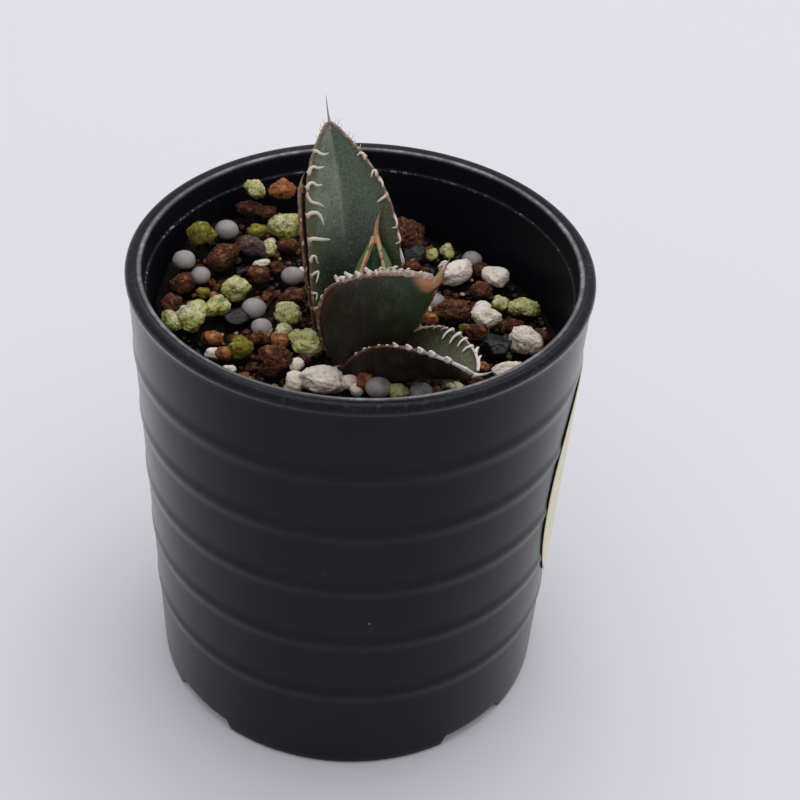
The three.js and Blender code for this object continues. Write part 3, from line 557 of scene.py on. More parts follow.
def mix_height(x, y):
    """The level falls evenly to the right, plus height times exp(-distance^2 / (2 spread^2)) for each heap."""
    level = MIX_LEVEL - MIX_SLOPE * x
    for heap_x, heap_y, height, spread in HEAPS:
        level = level + height * np.exp(-((x - heap_x) ** 2 + (y - heap_y) ** 2) / (2 * spread ** 2))
    return level


print("mix level at the middle:", round(float(mix_height(0, 0)), 2))

# %% Mix: the grains that the photograph shows
# Rows: x, y, lift of the middle above the surface, length, width, turn
GRAINS = {
    "pale_pumice": [
        (-20, 25.5, 6.4, 5, 3.6, 120), (-14.5, 23.5, 1.4, 7, 5.6, 70), (-17, 15.5, 0.8, 4, 3.2, 80),
        (-21.8, 4, 1.2, 5.4, 4.8, 40), (-28.6, -3.5, 1.6, 7.2, 5.6, 75), (-24.8, -0.5, 1.2, 5.4, 4.4, 60),
        (-32, -4.5, 1.2, 6.6, 3.6, 115), (-12.6, 0, 1.2, 5.4, 4.6, -25), (-13.2, -4, 0.9, 3.6, 3, 50),
        (-9, -6.8, 1.5, 7, 5.4, -50), (6.7, -22, 1.1, 3.6, 3.2, 0), (13, 25, 0.8, 3.2, 2.6, 90),
        (16, 26.5, 1, 4.2, 2.8, 90), (25.3, 11, 0.8, 3.8, 3.2, 60), (29.6, 9.3, 1.2, 6, 4, -10)],
    "white_pumice": [
        (-10.6, -18.7, 1.5, 4.6, 4.2, 30), (-5.6, -19.4, 2, 8.6, 5.4, -6), (17.5, 18.5, 1.6, 9, 5, 38),
        (25, 18.5, 1.4, 6.2, 4.6, -60), (22.5, 6, 1.1, 5.6, 4.6, -20), (29, -1, 1.6, 7, 6, -35),
        (26, -9, 1, 6, 3.4, 20), (-17.8, 11.5, 0.6, 3.8, 1.8, 20), (-24.8, -11, 0.6, 3.2, 2.4, 0),
        (-21.6, -14.6, 0.5, 2.4, 1.8, 0), (-10.4, -12.6, 0.7, 3, 2.8, 0), (0.1, -20.5, 0.4, 3, 2.8, 0),
        (-1.3, -19.5, 1, 3.4, 3.2, 0)],
    "brown_clay": [
        (-21, 25, 2.2, 5, 3.6, 10), (-17.6, 27.6, 0.8, 4, 3.4, 0), (-24.7, 10.5, 1.4, 7, 5, 50),
        (-13.4, 18, 0.8, 4.4, 3.4, 0), (-18.2, 8.2, 1, 4.6, 4, 30), (-15, 11.4, 0.7, 3.2, 2.8, 0),
        (-31.2, 4, 1.2, 4.8, 4.2, 20), (-32.4, -0.4, 1.4, 4.2, 3.6, 60), (-12, 5.2, 0.9, 4.6, 3.8, 20),
        (-17.2, -6.4, 0.7, 4, 3, 0), (-14.2, -12.4, 1.5, 6.8, 5.6, 30), (-9.4, -10.6, 0.5, 2.6, 2.4, 0),
        (8.4, 28.6, 2.4, 8, 6.6, 100), (22, 21.5, 0.8, 3.6, 3.2, 0), (21.8, 14.2, 0.9, 4.2, 4, 0),
        (16.7, 7, 1.2, 7.4, 4.4, 10), (27.6, 4.5, 0.7, 3.4, 2.8, 0), (32, 1.5, 1, 3.8, 3.2, -40),
        (20.8, 1.4, 0.9, 4.8, 3.6, 0)],
    "rust_clay": [
        (-15.4, 28, 6.2, 5.6, 4.6, 15), (-25.2, -7.6, 0.8, 4.4, 3, -10), (-22.8, -11, 0.7, 3.4, 2.8, 0),
        (1.7, -19.5, 1.5, 4.6, 4.4, 0), (12.4, 4.6, 0.6, 3.4, 2.6, 0), (21.4, -8.4, 0.6, 2.6, 2.2, 0)],
    "mossy_grain": [
        (-28.6, 13.8, 2.6, 5.6, 5, 0), (-19.4, 19.6, 0.7, 4, 3, 20), (-27.6, 2.8, 0.6, 2.8, 2.6, 0),
        (-20.2, -9.8, 1.1, 5, 4.4, 60), (19, 2.8, 0.5, 2.8, 2.4, 0)],
    "charcoal": [(-21.2, -2, 0.8, 4.8, 4, 20), (9.6, 24.2, 1.1, 5.4, 4.8, 80), (24, -3, 1.2, 6, 5.2, 50)],
    "purple_lava": [(-20, 14.4, 1.1, 5, 4.4, -30)],
    "fertiliser_bead": [
        (-24.6, 17.8, 1, 4.4, 4.1, 0), (-31.2, 7.6, 2.8, 4.1, 3.9, 0), (-28.3, 6.5, 0.7, 3.7, 3.5, 0),
        (-12.3, 10, 0.9, 4.1, 3.7, 0), (-18.5, 0.3, 1, 4.4, 4.1, 0), (-16.9, -3.6, 0.8, 3.7, 3.4, 0),
        (3.5, -21.5, 1.3, 4.4, 4.1, 0), (10.5, -21, 1.4, 4.1, 3.7, 0), (20.6, 24.6, 0.7, 3.9, 3.6, 0),
        (13.4, 9.2, 0.9, 4.1, 4, 0)],
}
print("listed grains:", sum(len(placed) for placed in GRAINS.values()))

# %% Mix: drawn grains and grit
FILLER_COUNT, FILLER_SIZES, FILLER_SEED, FILLER_REACH, PLANT_CLEARANCE = 24, (3.0, 4.6), 41, 33, 8.5
FILLER_KINDS = ("brown_clay", "brown_clay", "pale_pumice", "white_pumice", "charcoal", "rust_clay")
GRIT_REACH, GRIT_OUTER_LIMIT, GRIT_PLANT_CLEARANCE = 34.2, 35.2, 7.5
GRAIN_KEEP_OUT, GRIT_KEEP_OUT = 0.36, 0.3


def spot(reach, draw):
    """An even spread over a disc: the radius goes by the square root of a draw, and the angle by the next draw."""
    radius, angle = reach * np.sqrt(draw()), 2 * np.pi * draw()
    return radius * np.cos(angle), radius * np.sin(angle)


def filler_grains():
    """Grains drawn by the frame's rule, less those that would stand in the plant."""
    draw = random_stream(FILLER_SEED)
    rows = []
    for _ in range(FILLER_COUNT):
        x, y = spot(FILLER_REACH, draw)
        size = part_way(FILLER_SIZES, draw())
        kind, turn = FILLER_KINDS[int(len(FILLER_KINDS) * draw())], 180 * draw()
        if np.hypot(x - STEM_X, y - STEM_Y - 1) > PLANT_CLEARANCE:
            rows.append((kind, (x, y, 0.05 * size, size, 0.8 * size, turn)))
    return rows


def grit_between(rng, taken, tries, sizes):
    """Throws small grains at the surface and keeps those that miss every larger grain's middle."""
    kept = []
    for _ in range(tries):
        x, y = spot(GRIT_REACH, rng.random)
        size = part_way(sizes, rng.random() ** 2)
        away = np.hypot(taken[:, 0] - x, taken[:, 1] - y) - GRAIN_KEEP_OUT * taken[:, 2] - GRIT_KEEP_OUT * size
        in_pot = np.hypot(x, y) + size / 2 < GRIT_OUTER_LIMIT
        if away.min() > 0 and in_pot and np.hypot(x - STEM_X, y - STEM_Y + 3) > GRIT_PLANT_CLEARANCE:
            kept.append((x, y, size))
            taken = np.concatenate([taken, [[x, y, size]]])
    return kept, taken


# %% Mix: broken, lumpy and worn shapes
def rugged(d, seed, rough):
    """Uneven broken surface: noise of four sizes, each about twice as fine and lower than the last."""
    return rough * (noise(2.8 * d + seed, seed) + 0.55 * noise(6.2 * d, seed + 1)
                    + 0.5 * noise(13 * d, seed + 2) + 0.35 * noise(25 * d, seed + 3))


def lumpy(d, rng, seed, lobes, rough):
    """Pumice, like popcorn: the outline of overlapping balls, r = largest of d.c + sqrt(R^2 - |c|^2 + (d.c)^2)."""
    away = rng.uniform(0.36, 0.56, lobes)
    centres = spread_directions(rng, lobes) * away[:, None]
    radii = away + rng.uniform(0.03, 0.14, lobes)
    ahead = d @ centres.T
    reach = ahead + np.sqrt(np.maximum(radii ** 2 - away ** 2 + ahead ** 2, 1e-4))
    r = (reach ** 12).sum(1) ** (1 / 12)
    return r + rugged(d, seed, rough) - 0.35 * np.clip(noise(5.2 * d + seed, seed + 4) - 0.4, 0, 1)


def spread_directions(rng, count):
    """Random directions that keep apart: each is the one of eight draws that is farthest from those before it."""
    chosen = unit(rng.normal(size=(1, 3)))
    while len(chosen) < count:
        drawn = unit(rng.normal(size=(8, 3)))
        chosen = np.concatenate([chosen, drawn[[(drawn @ chosen.T).max(1).argmin()]]])
    return chosen


def broken(d, rng, seed, faces, sharp, rough):
    """Clay, lava or charcoal: a convex stone with flat faces, r = (sum of (d.n / h)^p)^(-1/p), and porous noise."""
    normals = spread_directions(rng, faces)
    heights = rng.uniform(0.72, 1.0, faces)
    r = (np.maximum(d @ normals.T / heights, 0) ** sharp).sum(1) ** (-1 / sharp)
    r = np.minimum(r, 1.2)
    return r + rugged(d, seed, rough) - 3 * rough * np.clip(noise(7 * d + seed, seed + 5) - 0.3, 0, 1)


def worn(d, rng, seed, share, rough):
    """Between the two: a share of a broken stone and the rest of a lumpy one."""
    return share * broken(d, rng, seed, 9, 14.0, rough) + (1 - share) * lumpy(d, rng, seed, 5, rough)


def bead(d, rng, seed):
    """A fertiliser bead: a ball with a faint unevenness and a soft dimple or two."""
    dimples = np.exp(10 * (d @ spread_directions(rng, 3).T - 1)).sum(1)
    return 1 + 0.03 * noise(1.6 * d + seed, seed) + 0.004 * noise(7 * d, seed + 1) - 0.05 * dimples


# %% Mix: one grain of each kind
# Each kind's shape, and the numbers that it takes after the seed
SHAPES = {
    "pale_pumice": (worn, 0.5, 0.1),
    "white_pumice": (worn, 0.55, 0.06),
    "mossy_grain": (worn, 0.3, 0.08),
    "brown_clay": (broken, 11, 9.0, 0.11),
    "rust_clay": (broken, 12, 9.0, 0.09),
    "purple_lava": (broken, 13, 8.0, 0.11),
    "charcoal": (broken, 9, 20.0, 0.035),
    "fertiliser_bead": (bead,),
}
WALL_GAP, LEDGE_RADIUS_LIMIT = 0.12, 37.0


def grain_level(size):
    """How often a grain's ball is divided: fine where it shows, coarse on a crumb."""
    return 5 if size > 4.7 else 4 if size > 3.3 else 3 if size > 1.6 else 2


def add_grain(form, kind, row, rng, sink=0.0):
    """Shapes a ball of directions for its kind, stretches it to its size and sets it on the surface."""
    x, y, lift, long, wide, turn = row
    d, triangles = sphere(grain_level(long))
    seed = int(rng.integers(1, 9999))
    shape, *settings = SHAPES[kind]
    spin = np.array(Quaternion(unit(rng.normal(size=4))).to_matrix())
    r = shape(d @ spin, rng, seed, *settings)
    r = r / np.percentile(r, 80)
    angle = np.radians(turn)
    shaped = d * r[:, None] * np.array([long, wide, GRAIN_HEIGHT_SHARE * wide]) / 2
    turned = np.stack([shaped[:, 0] * np.cos(angle) - shaped[:, 1] * np.sin(angle),
                       shaped[:, 0] * np.sin(angle) + shaped[:, 1] * np.cos(angle), shaped[:, 2]], -1)
    points = turned + np.array([x, y, mix_height(x, y) + lift - sink])
    radius = np.hypot(points[:, 0], points[:, 1])
    wall = inner_radius(points[:, 2]) - WALL_GAP
    limit = np.where(points[:, 2] < LEDGE_HEIGHT - 0.3, wall, LEDGE_RADIUS_LIMIT)
    points[:, :2] *= np.minimum(1, limit / np.maximum(radius, 1e-6))[:, None]
    form.add(points, [triangles], tint=rng.random(), hollow=np.clip(1.6 * (1 - r), 0, 1), up=d[:, 2])


# %% [markdown]
# ## Mix: finishes
#
# Each kind has its own finish, by one rule: each grain's own tint moves its colour between two shades, and painted
# shade darkens the hollows that the shape pushed in, the pores, the low lumps and the underside.

# %% Mix: finishes
def stone(name, shades, painted_shade, speck=None, grain=(1500, 0.00012), rough=0.85, moss=None, specular=0.3,
          speck_scale=1300, crumb=0.0005):
    """One finish for a kind; the table of stones says what each value is."""
    finish = Finish(name, Specular_IOR_Level=specular)
    tint, hollow, up = (finish.number(key) for key in ("tint", "hollow", "up"))
    cloud, lumps = finish.noise(420, 4, 0.6), finish.noise(620, 3, 0.6, distortion=0.6)
    pores = finish.noise(grain[0], 4, 0.65)
    coats = [(cloud.above(0.35, 0.7) * 0.7, finish.blend(tint, shades[1], shades[0]))]
    if moss:
        coats.append(((finish.noise(240, 4, 0.65) - 0.2 * up).above(*moss[1:]), moss[0]))
    if speck:
        coats.append(((finish.noise(speck_scale, 4, 0.65) + 0.08 * up).above(*speck[1:]), speck[0]))
    # Painted shade: the pores, the hollows that the shape pushed in and the low parts of the lumps are darkened.
    coats += [(pores.above(0.46, 0.3) * 0.5, painted_shade), (hollow.above(0.2, 0.7) * 0.8, painted_shade),
              # Painted shade: the underside of each grain is darker.
              (up.above(0.1, -0.6) * 0.6, painted_shade),
              (lumps.above(0.44, 0.3) * min(1.0, 900 * crumb), painted_shade)]
    base = finish.layers(finish.blend(tint, *shades), *coats)
    return finish.wear(Base_Color=base, Roughness=rough + 0.1 * cloud,
                       relief=[(lumps, crumb), (pores, grain[1]), (finish.noise(5200, 2, 0.5), 0.00004)])


# %% Mix: the kinds' colours
# shades: two colours that a grain's tint runs between. painted_shade: the painted shade in hollows, pores and low
# lumps and on the underside.
# speck and moss: a colour, and the noise values where it sets in and is full. speck_scale: specks per metre. grain:
# pores per metre
# and their depth in metres. crumb: the depth of the coarse lumps in metres, which also sets how strong their painted
# shade is.
STONES = {
    "pale_pumice": dict(
        shades=((210, 204, 148), (186, 186, 108)), painted_shade=(92, 88, 30), speck=((230, 224, 190), 0.54, 0.72),
        grain=(1300, 0.00025), moss=((136, 142, 44), 0.42, 0.6), speck_scale=520, crumb=0.0008),
    "white_pumice": dict(
        shades=((250, 240, 224), (240, 226, 204)), painted_shade=(156, 128, 98), speck=((252, 246, 236), 0.56, 0.72),
        grain=(1400, 0.00016), moss=((206, 200, 140), 0.54, 0.76), crumb=0.0004),
    "brown_clay": dict(
        shades=((104, 62, 39), (64, 37, 23)), painted_shade=(16, 9, 5), speck=((158, 104, 68), 0.56, 0.72),
        grain=(1500, 0.00035), speck_scale=760, crumb=0.0009),
    "rust_clay": dict(
        shades=((172, 104, 62), (130, 76, 45)), painted_shade=(46, 24, 13), speck=((204, 144, 92), 0.55, 0.7),
        grain=(1400, 0.0004), speck_scale=760, crumb=0.0008),
    "mossy_grain": dict(
        shades=((142, 130, 44), (106, 98, 30)), painted_shade=(38, 28, 12), speck=((176, 172, 84), 0.58, 0.76),
        grain=(1300, 0.0003), moss=((84, 52, 28), 0.56, 0.72)),
    "charcoal": dict(
        shades=((24, 26, 30), (14, 15, 17)), painted_shade=(4, 4, 5), grain=(900, 0.00016), rough=0.42, specular=0.5,
        crumb=0.0002),
    "purple_lava": dict(
        shades=((104, 84, 80), (86, 66, 62)), painted_shade=(28, 20, 18), speck=((142, 120, 116), 0.58, 0.76),
        grain=(1500, 0.00035)),
    "fertiliser_bead": dict(
        shades=((172, 164, 162), (148, 141, 140)), painted_shade=(112, 103, 100), speck=((186, 182, 182), 0.6, 0.78),
        grain=(700, 0.00003), rough=0.4, specular=0.45, crumb=0.00003),
}

# %% Mix: place all grains
# Shares of the kinds among the fine grit; then its sizes, from coarse to fine, and how deep each is sunk
GRIT_SHARES = {"brown_clay": 0.48, "rust_clay": 0.1, "charcoal": 0.3, "mossy_grain": 0.05, "white_pumice": 0.02,
               "pale_pumice": 0.05}
GRIT = (dict(tries=700, sizes=(2.5, 4.0), sink=1.3), dict(tries=1300, sizes=(1.6, 2.5), sink=1.1),
        dict(tries=2200, sizes=(0.8, 1.3), sink=1.0))


def make_grains():
    """Places the listed and the drawn grains, then throws fine grit between them."""
    rng = np.random.default_rng(11)
    rows = [(kind, row) for kind, placed in GRAINS.items() for row in placed] + filler_grains()
    forms = {kind: Form() for kind in SHAPES}
    for kind, row in rows:
        add_grain(forms[kind], kind, row, rng)
    taken = np.array([(row[0], row[1], 0.5 * (row[3] + row[4])) for _, row in rows])
    for grit in GRIT:
        kept, taken = grit_between(rng, taken, grit["tries"], grit["sizes"])
        for x, y, size in kept:
            kind = rng.choice(list(GRIT_SHARES), p=list(GRIT_SHARES.values()))
            row = (x, y, 0.0, size, size * rng.uniform(0.65, 0.95), rng.uniform(0, 180))
            add_grain(forms[kind], kind, row, rng, grit["sink"])
        print("grit between:", len(kept))
    for kind, form in forms.items():
        form.make("grains_" + kind, stone(kind, **STONES[kind]), "potting_mix")


make_grains()

# %% [markdown]
# Under the grains lies dark, damp fine soil. It is a plug that fills the pot, with a bumpy top a little under the
# grains' level, so that the gaps between them read as deep and dark.

# %% Mix: soil under the grains
SOIL_DROP, SOIL_REACH, SOIL_ROWS, SOIL_SIDES = 1.5, 35.5, 90, 260


def make_soil(finish):
    """Rings from the middle out over the bumpy top, then down the wall and in along the pot's floor."""
    radii = np.linspace(0.02, 1, SOIL_ROWS) * SOIL_REACH
    top = lathe(np.stack([radii, 0 * radii], -1), SOIL_SIDES)
    z = mix_height(top[..., 0], top[..., 1]) - SOIL_DROP + 0.5 * noise(top / 2.1, 5) + 0.4 * noise(top, 6)
    top[..., :2] *= (inner_radius(z) - 0.15)[..., None] / SOIL_REACH
    top[..., 2] = z
    sides = lathe([(inner_radius(60) - 0.3, 60), (inner_radius(30) - 0.3, 30), (33.1, 6.0), (31.5, 4.3),
                   (0.05, 4.3)], SOIL_SIDES)
    Form().grid(np.concatenate([top, sides])[::-1]).make("soil", finish, "potting_mix")


def dark_soil():
    finish = Finish("dark_soil", Specular_IOR_Level=0.2)
    grain = finish.noise(900, 5, 0.7)
    base = finish.blend(grain.above(0.35, 0.7), (8, 6, 5), (36, 24, 17))
    return finish.wear(Base_Color=base, Roughness=0.85 + 0.1 * grain, relief=[(grain, 0.0004)])


make_soil(dark_soil())

# %% [markdown]
# ## Leaves
#
# An agave leaf is a thick, stiff blade, folded along its midrib like a boat. One function gives every leaf: the
# midrib climbs and bends outwards, an outline gives the width at each share t of the length, and the halves lift
# from the midrib. The frame's leaves follow the same rule, so these lie on them, with finer steps.

# %% Leaves: sizes
# Angles are in degrees. heading: the way it leans in plan. rise: its climb at base and tip. widest: how far up it is
# widest. taper: two powers that shape the outline above there. fold: lift of the halves. cup: extra curl. roll: how
# far the edges turn in. twist: turn about the midrib at base and tip. bow: sideways bend. uneven: how much wider the
# second half is. start: where each half's border begins.
LEAVES = {
    "leaf_back": dict(
        base=(-3, -4.6, 73.7), heading=102, rise=(67.8, 60.4), length=37.8, half_width=9, base_width=0.5,
        widest=0.3, taper=(1.85, 0.91), fold=35.2, cup=0.19, twist=(-5.6, 16.5), bow=1.5, uneven=0.14,
        thickness=(2, 1), start=(0.1, 0.1), spine=4.6, spine_turn=(0.05, -0.05), spine_radius=(0.19, 0.4)),
    "leaf_left": dict(
        base=(-5.5, -0.5, 69.8), heading=146, rise=(79.2, 78.1), length=31, half_width=5.3, base_width=0.68,
        widest=0.38, taper=(1.29, 0.8), fold=17.6, cup=0.08, twist=(-2.4, -1.4), bow=0.56, uneven=0,
        thickness=(1.8, 0.9), start=(0.1, 0.1), spine=2.4, spine_turn=(0.2, 0.3), spine_radius=(0.24, 0.3)),
    "leaf_front": dict(
        base=(0.7, -12.3, 71.4), heading=-34, rise=(75, 49.6), length=30.5, half_width=11.6, base_width=0.47,
        widest=0.61, taper=(0.8, 0.6), fold=21.8, cup=0.28, twist=(47.2, 23.4), bow=2.1, uneven=-0.11,
        thickness=(2.2, 1.2), start=(0.1, 0.1), spine=4.4, spine_turn=(0.1, 0.25), spine_radius=(0.36, 0.4)),
    "leaf_right": dict(
        base=(1.3, -15.4, 74.1), heading=-33, rise=(34, 20), length=23.4, half_width=8.6, base_width=0.6,
        widest=0.46, taper=(0.8, 0.5), fold=39, cup=0.17, twist=(17, 15), bow=-0.7, uneven=0,
        thickness=(2.2, 1.2), start=(0.2, 0.0), spine=4.2, spine_turn=(0, 0.25), spine_radius=(0.42, 0.4)),
    "leaf_centre": dict(
        base=(-0.4, -8.5, 76), heading=72, rise=(65.2, 66.8), length=19.2, half_width=9.1, base_width=0.7,
        widest=0.45, taper=(1.06, 1.02), fold=25, cup=0, roll=0.7, twist=(4.7, 4.7), bow=2, uneven=0,
        thickness=(1.6, 0.8), start=(0.1, 0.1), spine=4.6, spine_turn=(0.28, 0), spine_radius=(0.5, 0.2)),
}
MIDRIB_SOFTNESS, RISE_POWER, BLADE_ROOT, EDGE_THICKNESS = 0.15, 1.3, 1.6, 0.7
CLIMB_STEPS, SMALL_STEP = 24, 0.004
BLADE_ROWS, TIP_ROWS, BLADE_COLUMNS, TIP_START = 110, 34, 45, 0.9


# %% Leaves: the surface
def outline_share(leaf, t):
    """Half width as a share: a quarter sine up to the widest place, then cos(pi/2 u^p)^q down to 0 at the tip."""
    below = np.clip(t / leaf["widest"], 0, 1)
    above = np.clip((t - leaf["widest"]) / (1 - leaf["widest"]), 0, 1)
    lower = leaf["base_width"] + (1 - leaf["base_width"]) * np.sin(np.pi / 2 * below)
    upper = np.maximum(np.cos(np.pi / 2 * above ** leaf["taper"][0]), 0) ** leaf["taper"][1]
    return np.where(t < leaf["widest"], lower, upper)


def leaf_frame(leaf, t):
    """Midrib point, sideways direction and upper side's direction: the climb angle is summed along the midrib."""
    heading = np.radians(leaf["heading"])
    out = np.array([np.cos(heading), np.sin(heading), 0])
    side = np.array([np.sin(heading), -np.cos(heading), 0])
    up = np.array([0, 0, 1.0])
    t = t[:, None]
    steps = (np.arange(CLIMB_STEPS) + 0.5) / CLIMB_STEPS
    climb = part_way(np.radians(leaf["rise"]), np.maximum(0, t * np.append(steps, 1)) ** RISE_POWER)
    angles, rise = climb[:, :-1], climb[:, -1:]
    centre = (np.array(leaf["base"]) + leaf["length"] * t * np.cos(angles).mean(1, keepdims=True) * out
              + leaf["length"] * t * np.sin(angles).mean(1, keepdims=True) * up
              + leaf["bow"] * np.sin(np.pi * t) * side)
    face = -np.sin(rise) * out + np.cos(rise) * up
    twist = np.radians(part_way(leaf["twist"], t))
    return centre, np.cos(twist) * side + np.sin(twist) * face, np.cos(twist) * face - np.sin(twist) * side


def leaf_points(leaf, t, v, inset=0.0):
    """Upper side at t (0 base to 1 tip) and v (-1 to 1 across): halves lift by a softened |v| and by cup v^2."""
    t, v = np.atleast_1d(t).astype(float), np.atleast_1d(v).astype(float)
    centre, side, face = leaf_frame(leaf, t)
    share = leaf["half_width"] * outline_share(leaf, t)[:, None]
    half = np.maximum(share * np.where(v > 0, 1 + leaf["uneven"], 1 - leaf["uneven"]) - inset, 0.02)
    fold = np.tan(np.radians(leaf["fold"]))
    spread = np.sqrt(1 + fold ** 2)
    lift = fold * (np.hypot(v, MIDRIB_SOFTNESS) - MIDRIB_SOFTNESS) / spread + leaf["cup"] * v ** 2
    across = v * (1 - leaf.get("roll", 0) * v ** 2) / spread
    return centre[:, None] + (half * across)[..., None] * side[:, None] + (half * lift)[..., None] * face[:, None]


def leaf_normals(leaf, t, v, inset=0.0):
    """Square to the surface: the cross product of small steps across and along it."""
    inside = np.clip(t, 0.0, 1 - 3 * SMALL_STEP)
    along = leaf_points(leaf, inside + SMALL_STEP, v, inset) - leaf_points(leaf, inside - SMALL_STEP, v, inset)
    across = leaf_points(leaf, inside, v + SMALL_STEP, inset) - leaf_points(leaf, inside, v - SMALL_STEP, inset)
    return unit(np.cross(across, along))


# %% Leaves: the blade
# Half width of each leaf's horny border; a wider one than the limit lies on the face and not round the edge
BORDERS = {"leaf_back": 0.13, "leaf_left": 0.22, "leaf_front": 0.25, "leaf_right": 0.2, "leaf_centre": 0.36}
ROUND_BORDER_LIMIT = 0.26


def make_blade(name, finish):
    """Rings round the blade: over the upper side, round the edge and back under, thick at the midrib."""
    leaf, inset = LEAVES[name], min(BORDERS[name], 0.25) - 0.03
    t = np.concatenate([np.linspace(-BLADE_ROOT / leaf["length"], TIP_START, BLADE_ROWS),
                        np.linspace(TIP_START, 0.999, TIP_ROWS)[1:]])
    v = -np.cos(np.linspace(0, np.pi, BLADE_COLUMNS))
    upper = leaf_points(leaf, t, v, inset)
    normal = leaf_normals(leaf, t, v, inset)
    middle = part_way(leaf["thickness"], np.clip(t, 0, 1))[:, None]
    narrow = np.clip(outline_share(leaf, t) / 0.3, 0.1, 1)
    depth = EDGE_THICKNESS * np.sqrt(np.maximum(1 - v ** 2, 0)) + (middle - EDGE_THICKNESS) * (1 - v ** 2)
    ripple = (0.05 * noise(upper / 2.4, 21) + 0.025 * noise(upper / 0.9, 22)) * (1 - v ** 2)
    lower = upper - normal * (depth * narrow[:, None] - ripple)[..., None]
    upper = upper + normal * ripple[..., None]
    rings = np.concatenate([upper, lower[:, ::-1][:, 1:-1]], 1)
    across = np.concatenate([v, v[::-1][1:-1]])
    top = (np.arange(rings.shape[1]) < len(v)).astype(float)
    Form().grid(rings, along=t[:, None], across=across, top=top).make(name, finish, name)


# %% [markdown]
# ## Horny edges, teeth and spines
#
# The plant is known for its edge: a thin horny border with whitish teeth that curl back over the face, and a long
# needle at the tip. The border is an ellipse carried along the blade's edge, and a tooth one carried along a bent
# path from the border. The back leaf's teeth each have a path of their own, as they are seen one by one; the other
# leaves' teeth repeat a few paths with drawn changes of length and lean.

# %% Edges: the back leaf's teeth
# A row: share t of the root, thickness, and the path as (inwards, towards the tip) from the root
BACK_LEFT = [
    (0.99, 0.18, [(-0.2, 0.3), (-0.5, 1.3)]),
    (0.972, 0.16, [(-0.3, 0.3), (-0.45, 1.4)]),
    (0.955, 0.24, [(-0.1, 0.5), (-0.35, 1.1)]),
    (0.935, 0.16, [(-0.35, 0.2), (-0.4, 0.9)]),
    (0.88, 0.62, [(0.5, 0.1), (1.1, -0.5), (2.1, -0.6), (2.4, -0.3)]),
    (0.785, 0.66, [(0.4, 1.0), (1.0, 1.25), (1.6, 0.85), (2.7, 1.05)]),
    (0.723, 0.66, [(0.35, 0.85), (1.05, 1.05), (1.75, 0.35), (2.6, 0.5)]),
    (0.70, 0.68, [(0.5, -1.25), (1.55, -1.6), (2.4, -2.0), (2.7, -2.5)]),
    (0.605, 0.8, [(0.7, 0.6), (1.75, 0.5), (2.4, -0.3), (2.8, -1.85)]),
    (0.50, 0.82, [(0.7, 0.35), (2.1, 0.0), (3.8, -0.25)]),
    (0.41, 0.58, [(0.4, 1.05), (1.05, 0.7), (1.0, -0.1), (1.45, -0.5)]),
    (0.347, 0.54, [(0.7, 0.5), (1.4, 0.7), (1.05, -0.35), (0.7, -1.4)]),
    (0.27, 0.44, [(0.9, 0.0), (0.5, -1.4)]),
    (0.2, 0.4, [(0.7, 0.2), (0.5, -1.0)]),
]
BACK_RIGHT = [
    (0.99, 0.16, [(-0.3, 0.2), (-0.7, 0.9)]),
    (0.978, 0.18, [(-0.35, 0.5), (-0.9, 1.5)]),
    (0.965, 0.22, [(-0.3, 0.4), (-0.5, 1.0)]),
    (0.952, 0.16, [(-0.4, 0.0), (-0.9, 0.2)]),
    (0.93, 0.26, [(-0.25, 0.5), (-0.5, 1.1)]),
    (0.918, 0.18, [(-0.35, 0.3), (-0.85, 1.0)]),
    (0.9, 0.3, [(-0.3, 0.5), (-0.25, 1.0)]),
    (0.882, 0.2, [(-0.4, 0.1), (-0.6, 0.7)]),
    (0.84, 0.6, [(0.2, 0.7), (0.8, 0.95), (1.4, 0.4)]),
    (0.768, 0.56, [(0.1, 0.7), (0.6, 0.75), (0.95, -0.45)]),
    (0.75, 0.56, [(-0.55, -0.55), (-0.55, -1.5)]),
    (0.68, 0.56, [(0.75, -0.45), (1.75, -1.15)]),
    (0.594, 0.52, [(-0.45, -1.0), (-0.3, -2.1), (0.5, -2.05)]),
    (0.513, 0.5, [(-0.3, -0.8), (-0.2, -1.35), (0.55, -1.75)]),
    (0.44, 0.38, [(-0.3, -0.9), (-0.5, -2.4)]),
    (0.425, 0.34, [(-0.05, -0.9), (-0.35, -2.0)]),
    (0.33, 0.4, [(0.3, 0.3), (0.8, -0.3)]),
    (0.24, 0.38, [(0.4, 0.2), (0.9, -0.3)]),
]


# %% Edges: teeth that are drawn
def teeth(first, last, count, thickness, path, seed):
    """Evenly spaced roots with drawn shifts; shorter at both ends, and each path is stretched by its own draw."""
    rng = np.random.default_rng(seed)
    rows = []
    for share in np.linspace(0, 1, count):
        size = rng.uniform(0.65, 1.25) * (0.62 + 0.38 * np.sin(np.pi * min(1, 0.1 + share)) ** 0.5)
        t = part_way((first, last), share) + rng.uniform(-0.3, 0.3) * (last - first) / count
        lean = rng.uniform(-0.5, 0.5)
        bent = [(size * a, size * b + lean * abs(a)) for a, b in path]
        rows.append((t, thickness * rng.uniform(0.85, 1.15), bent))
    return rows


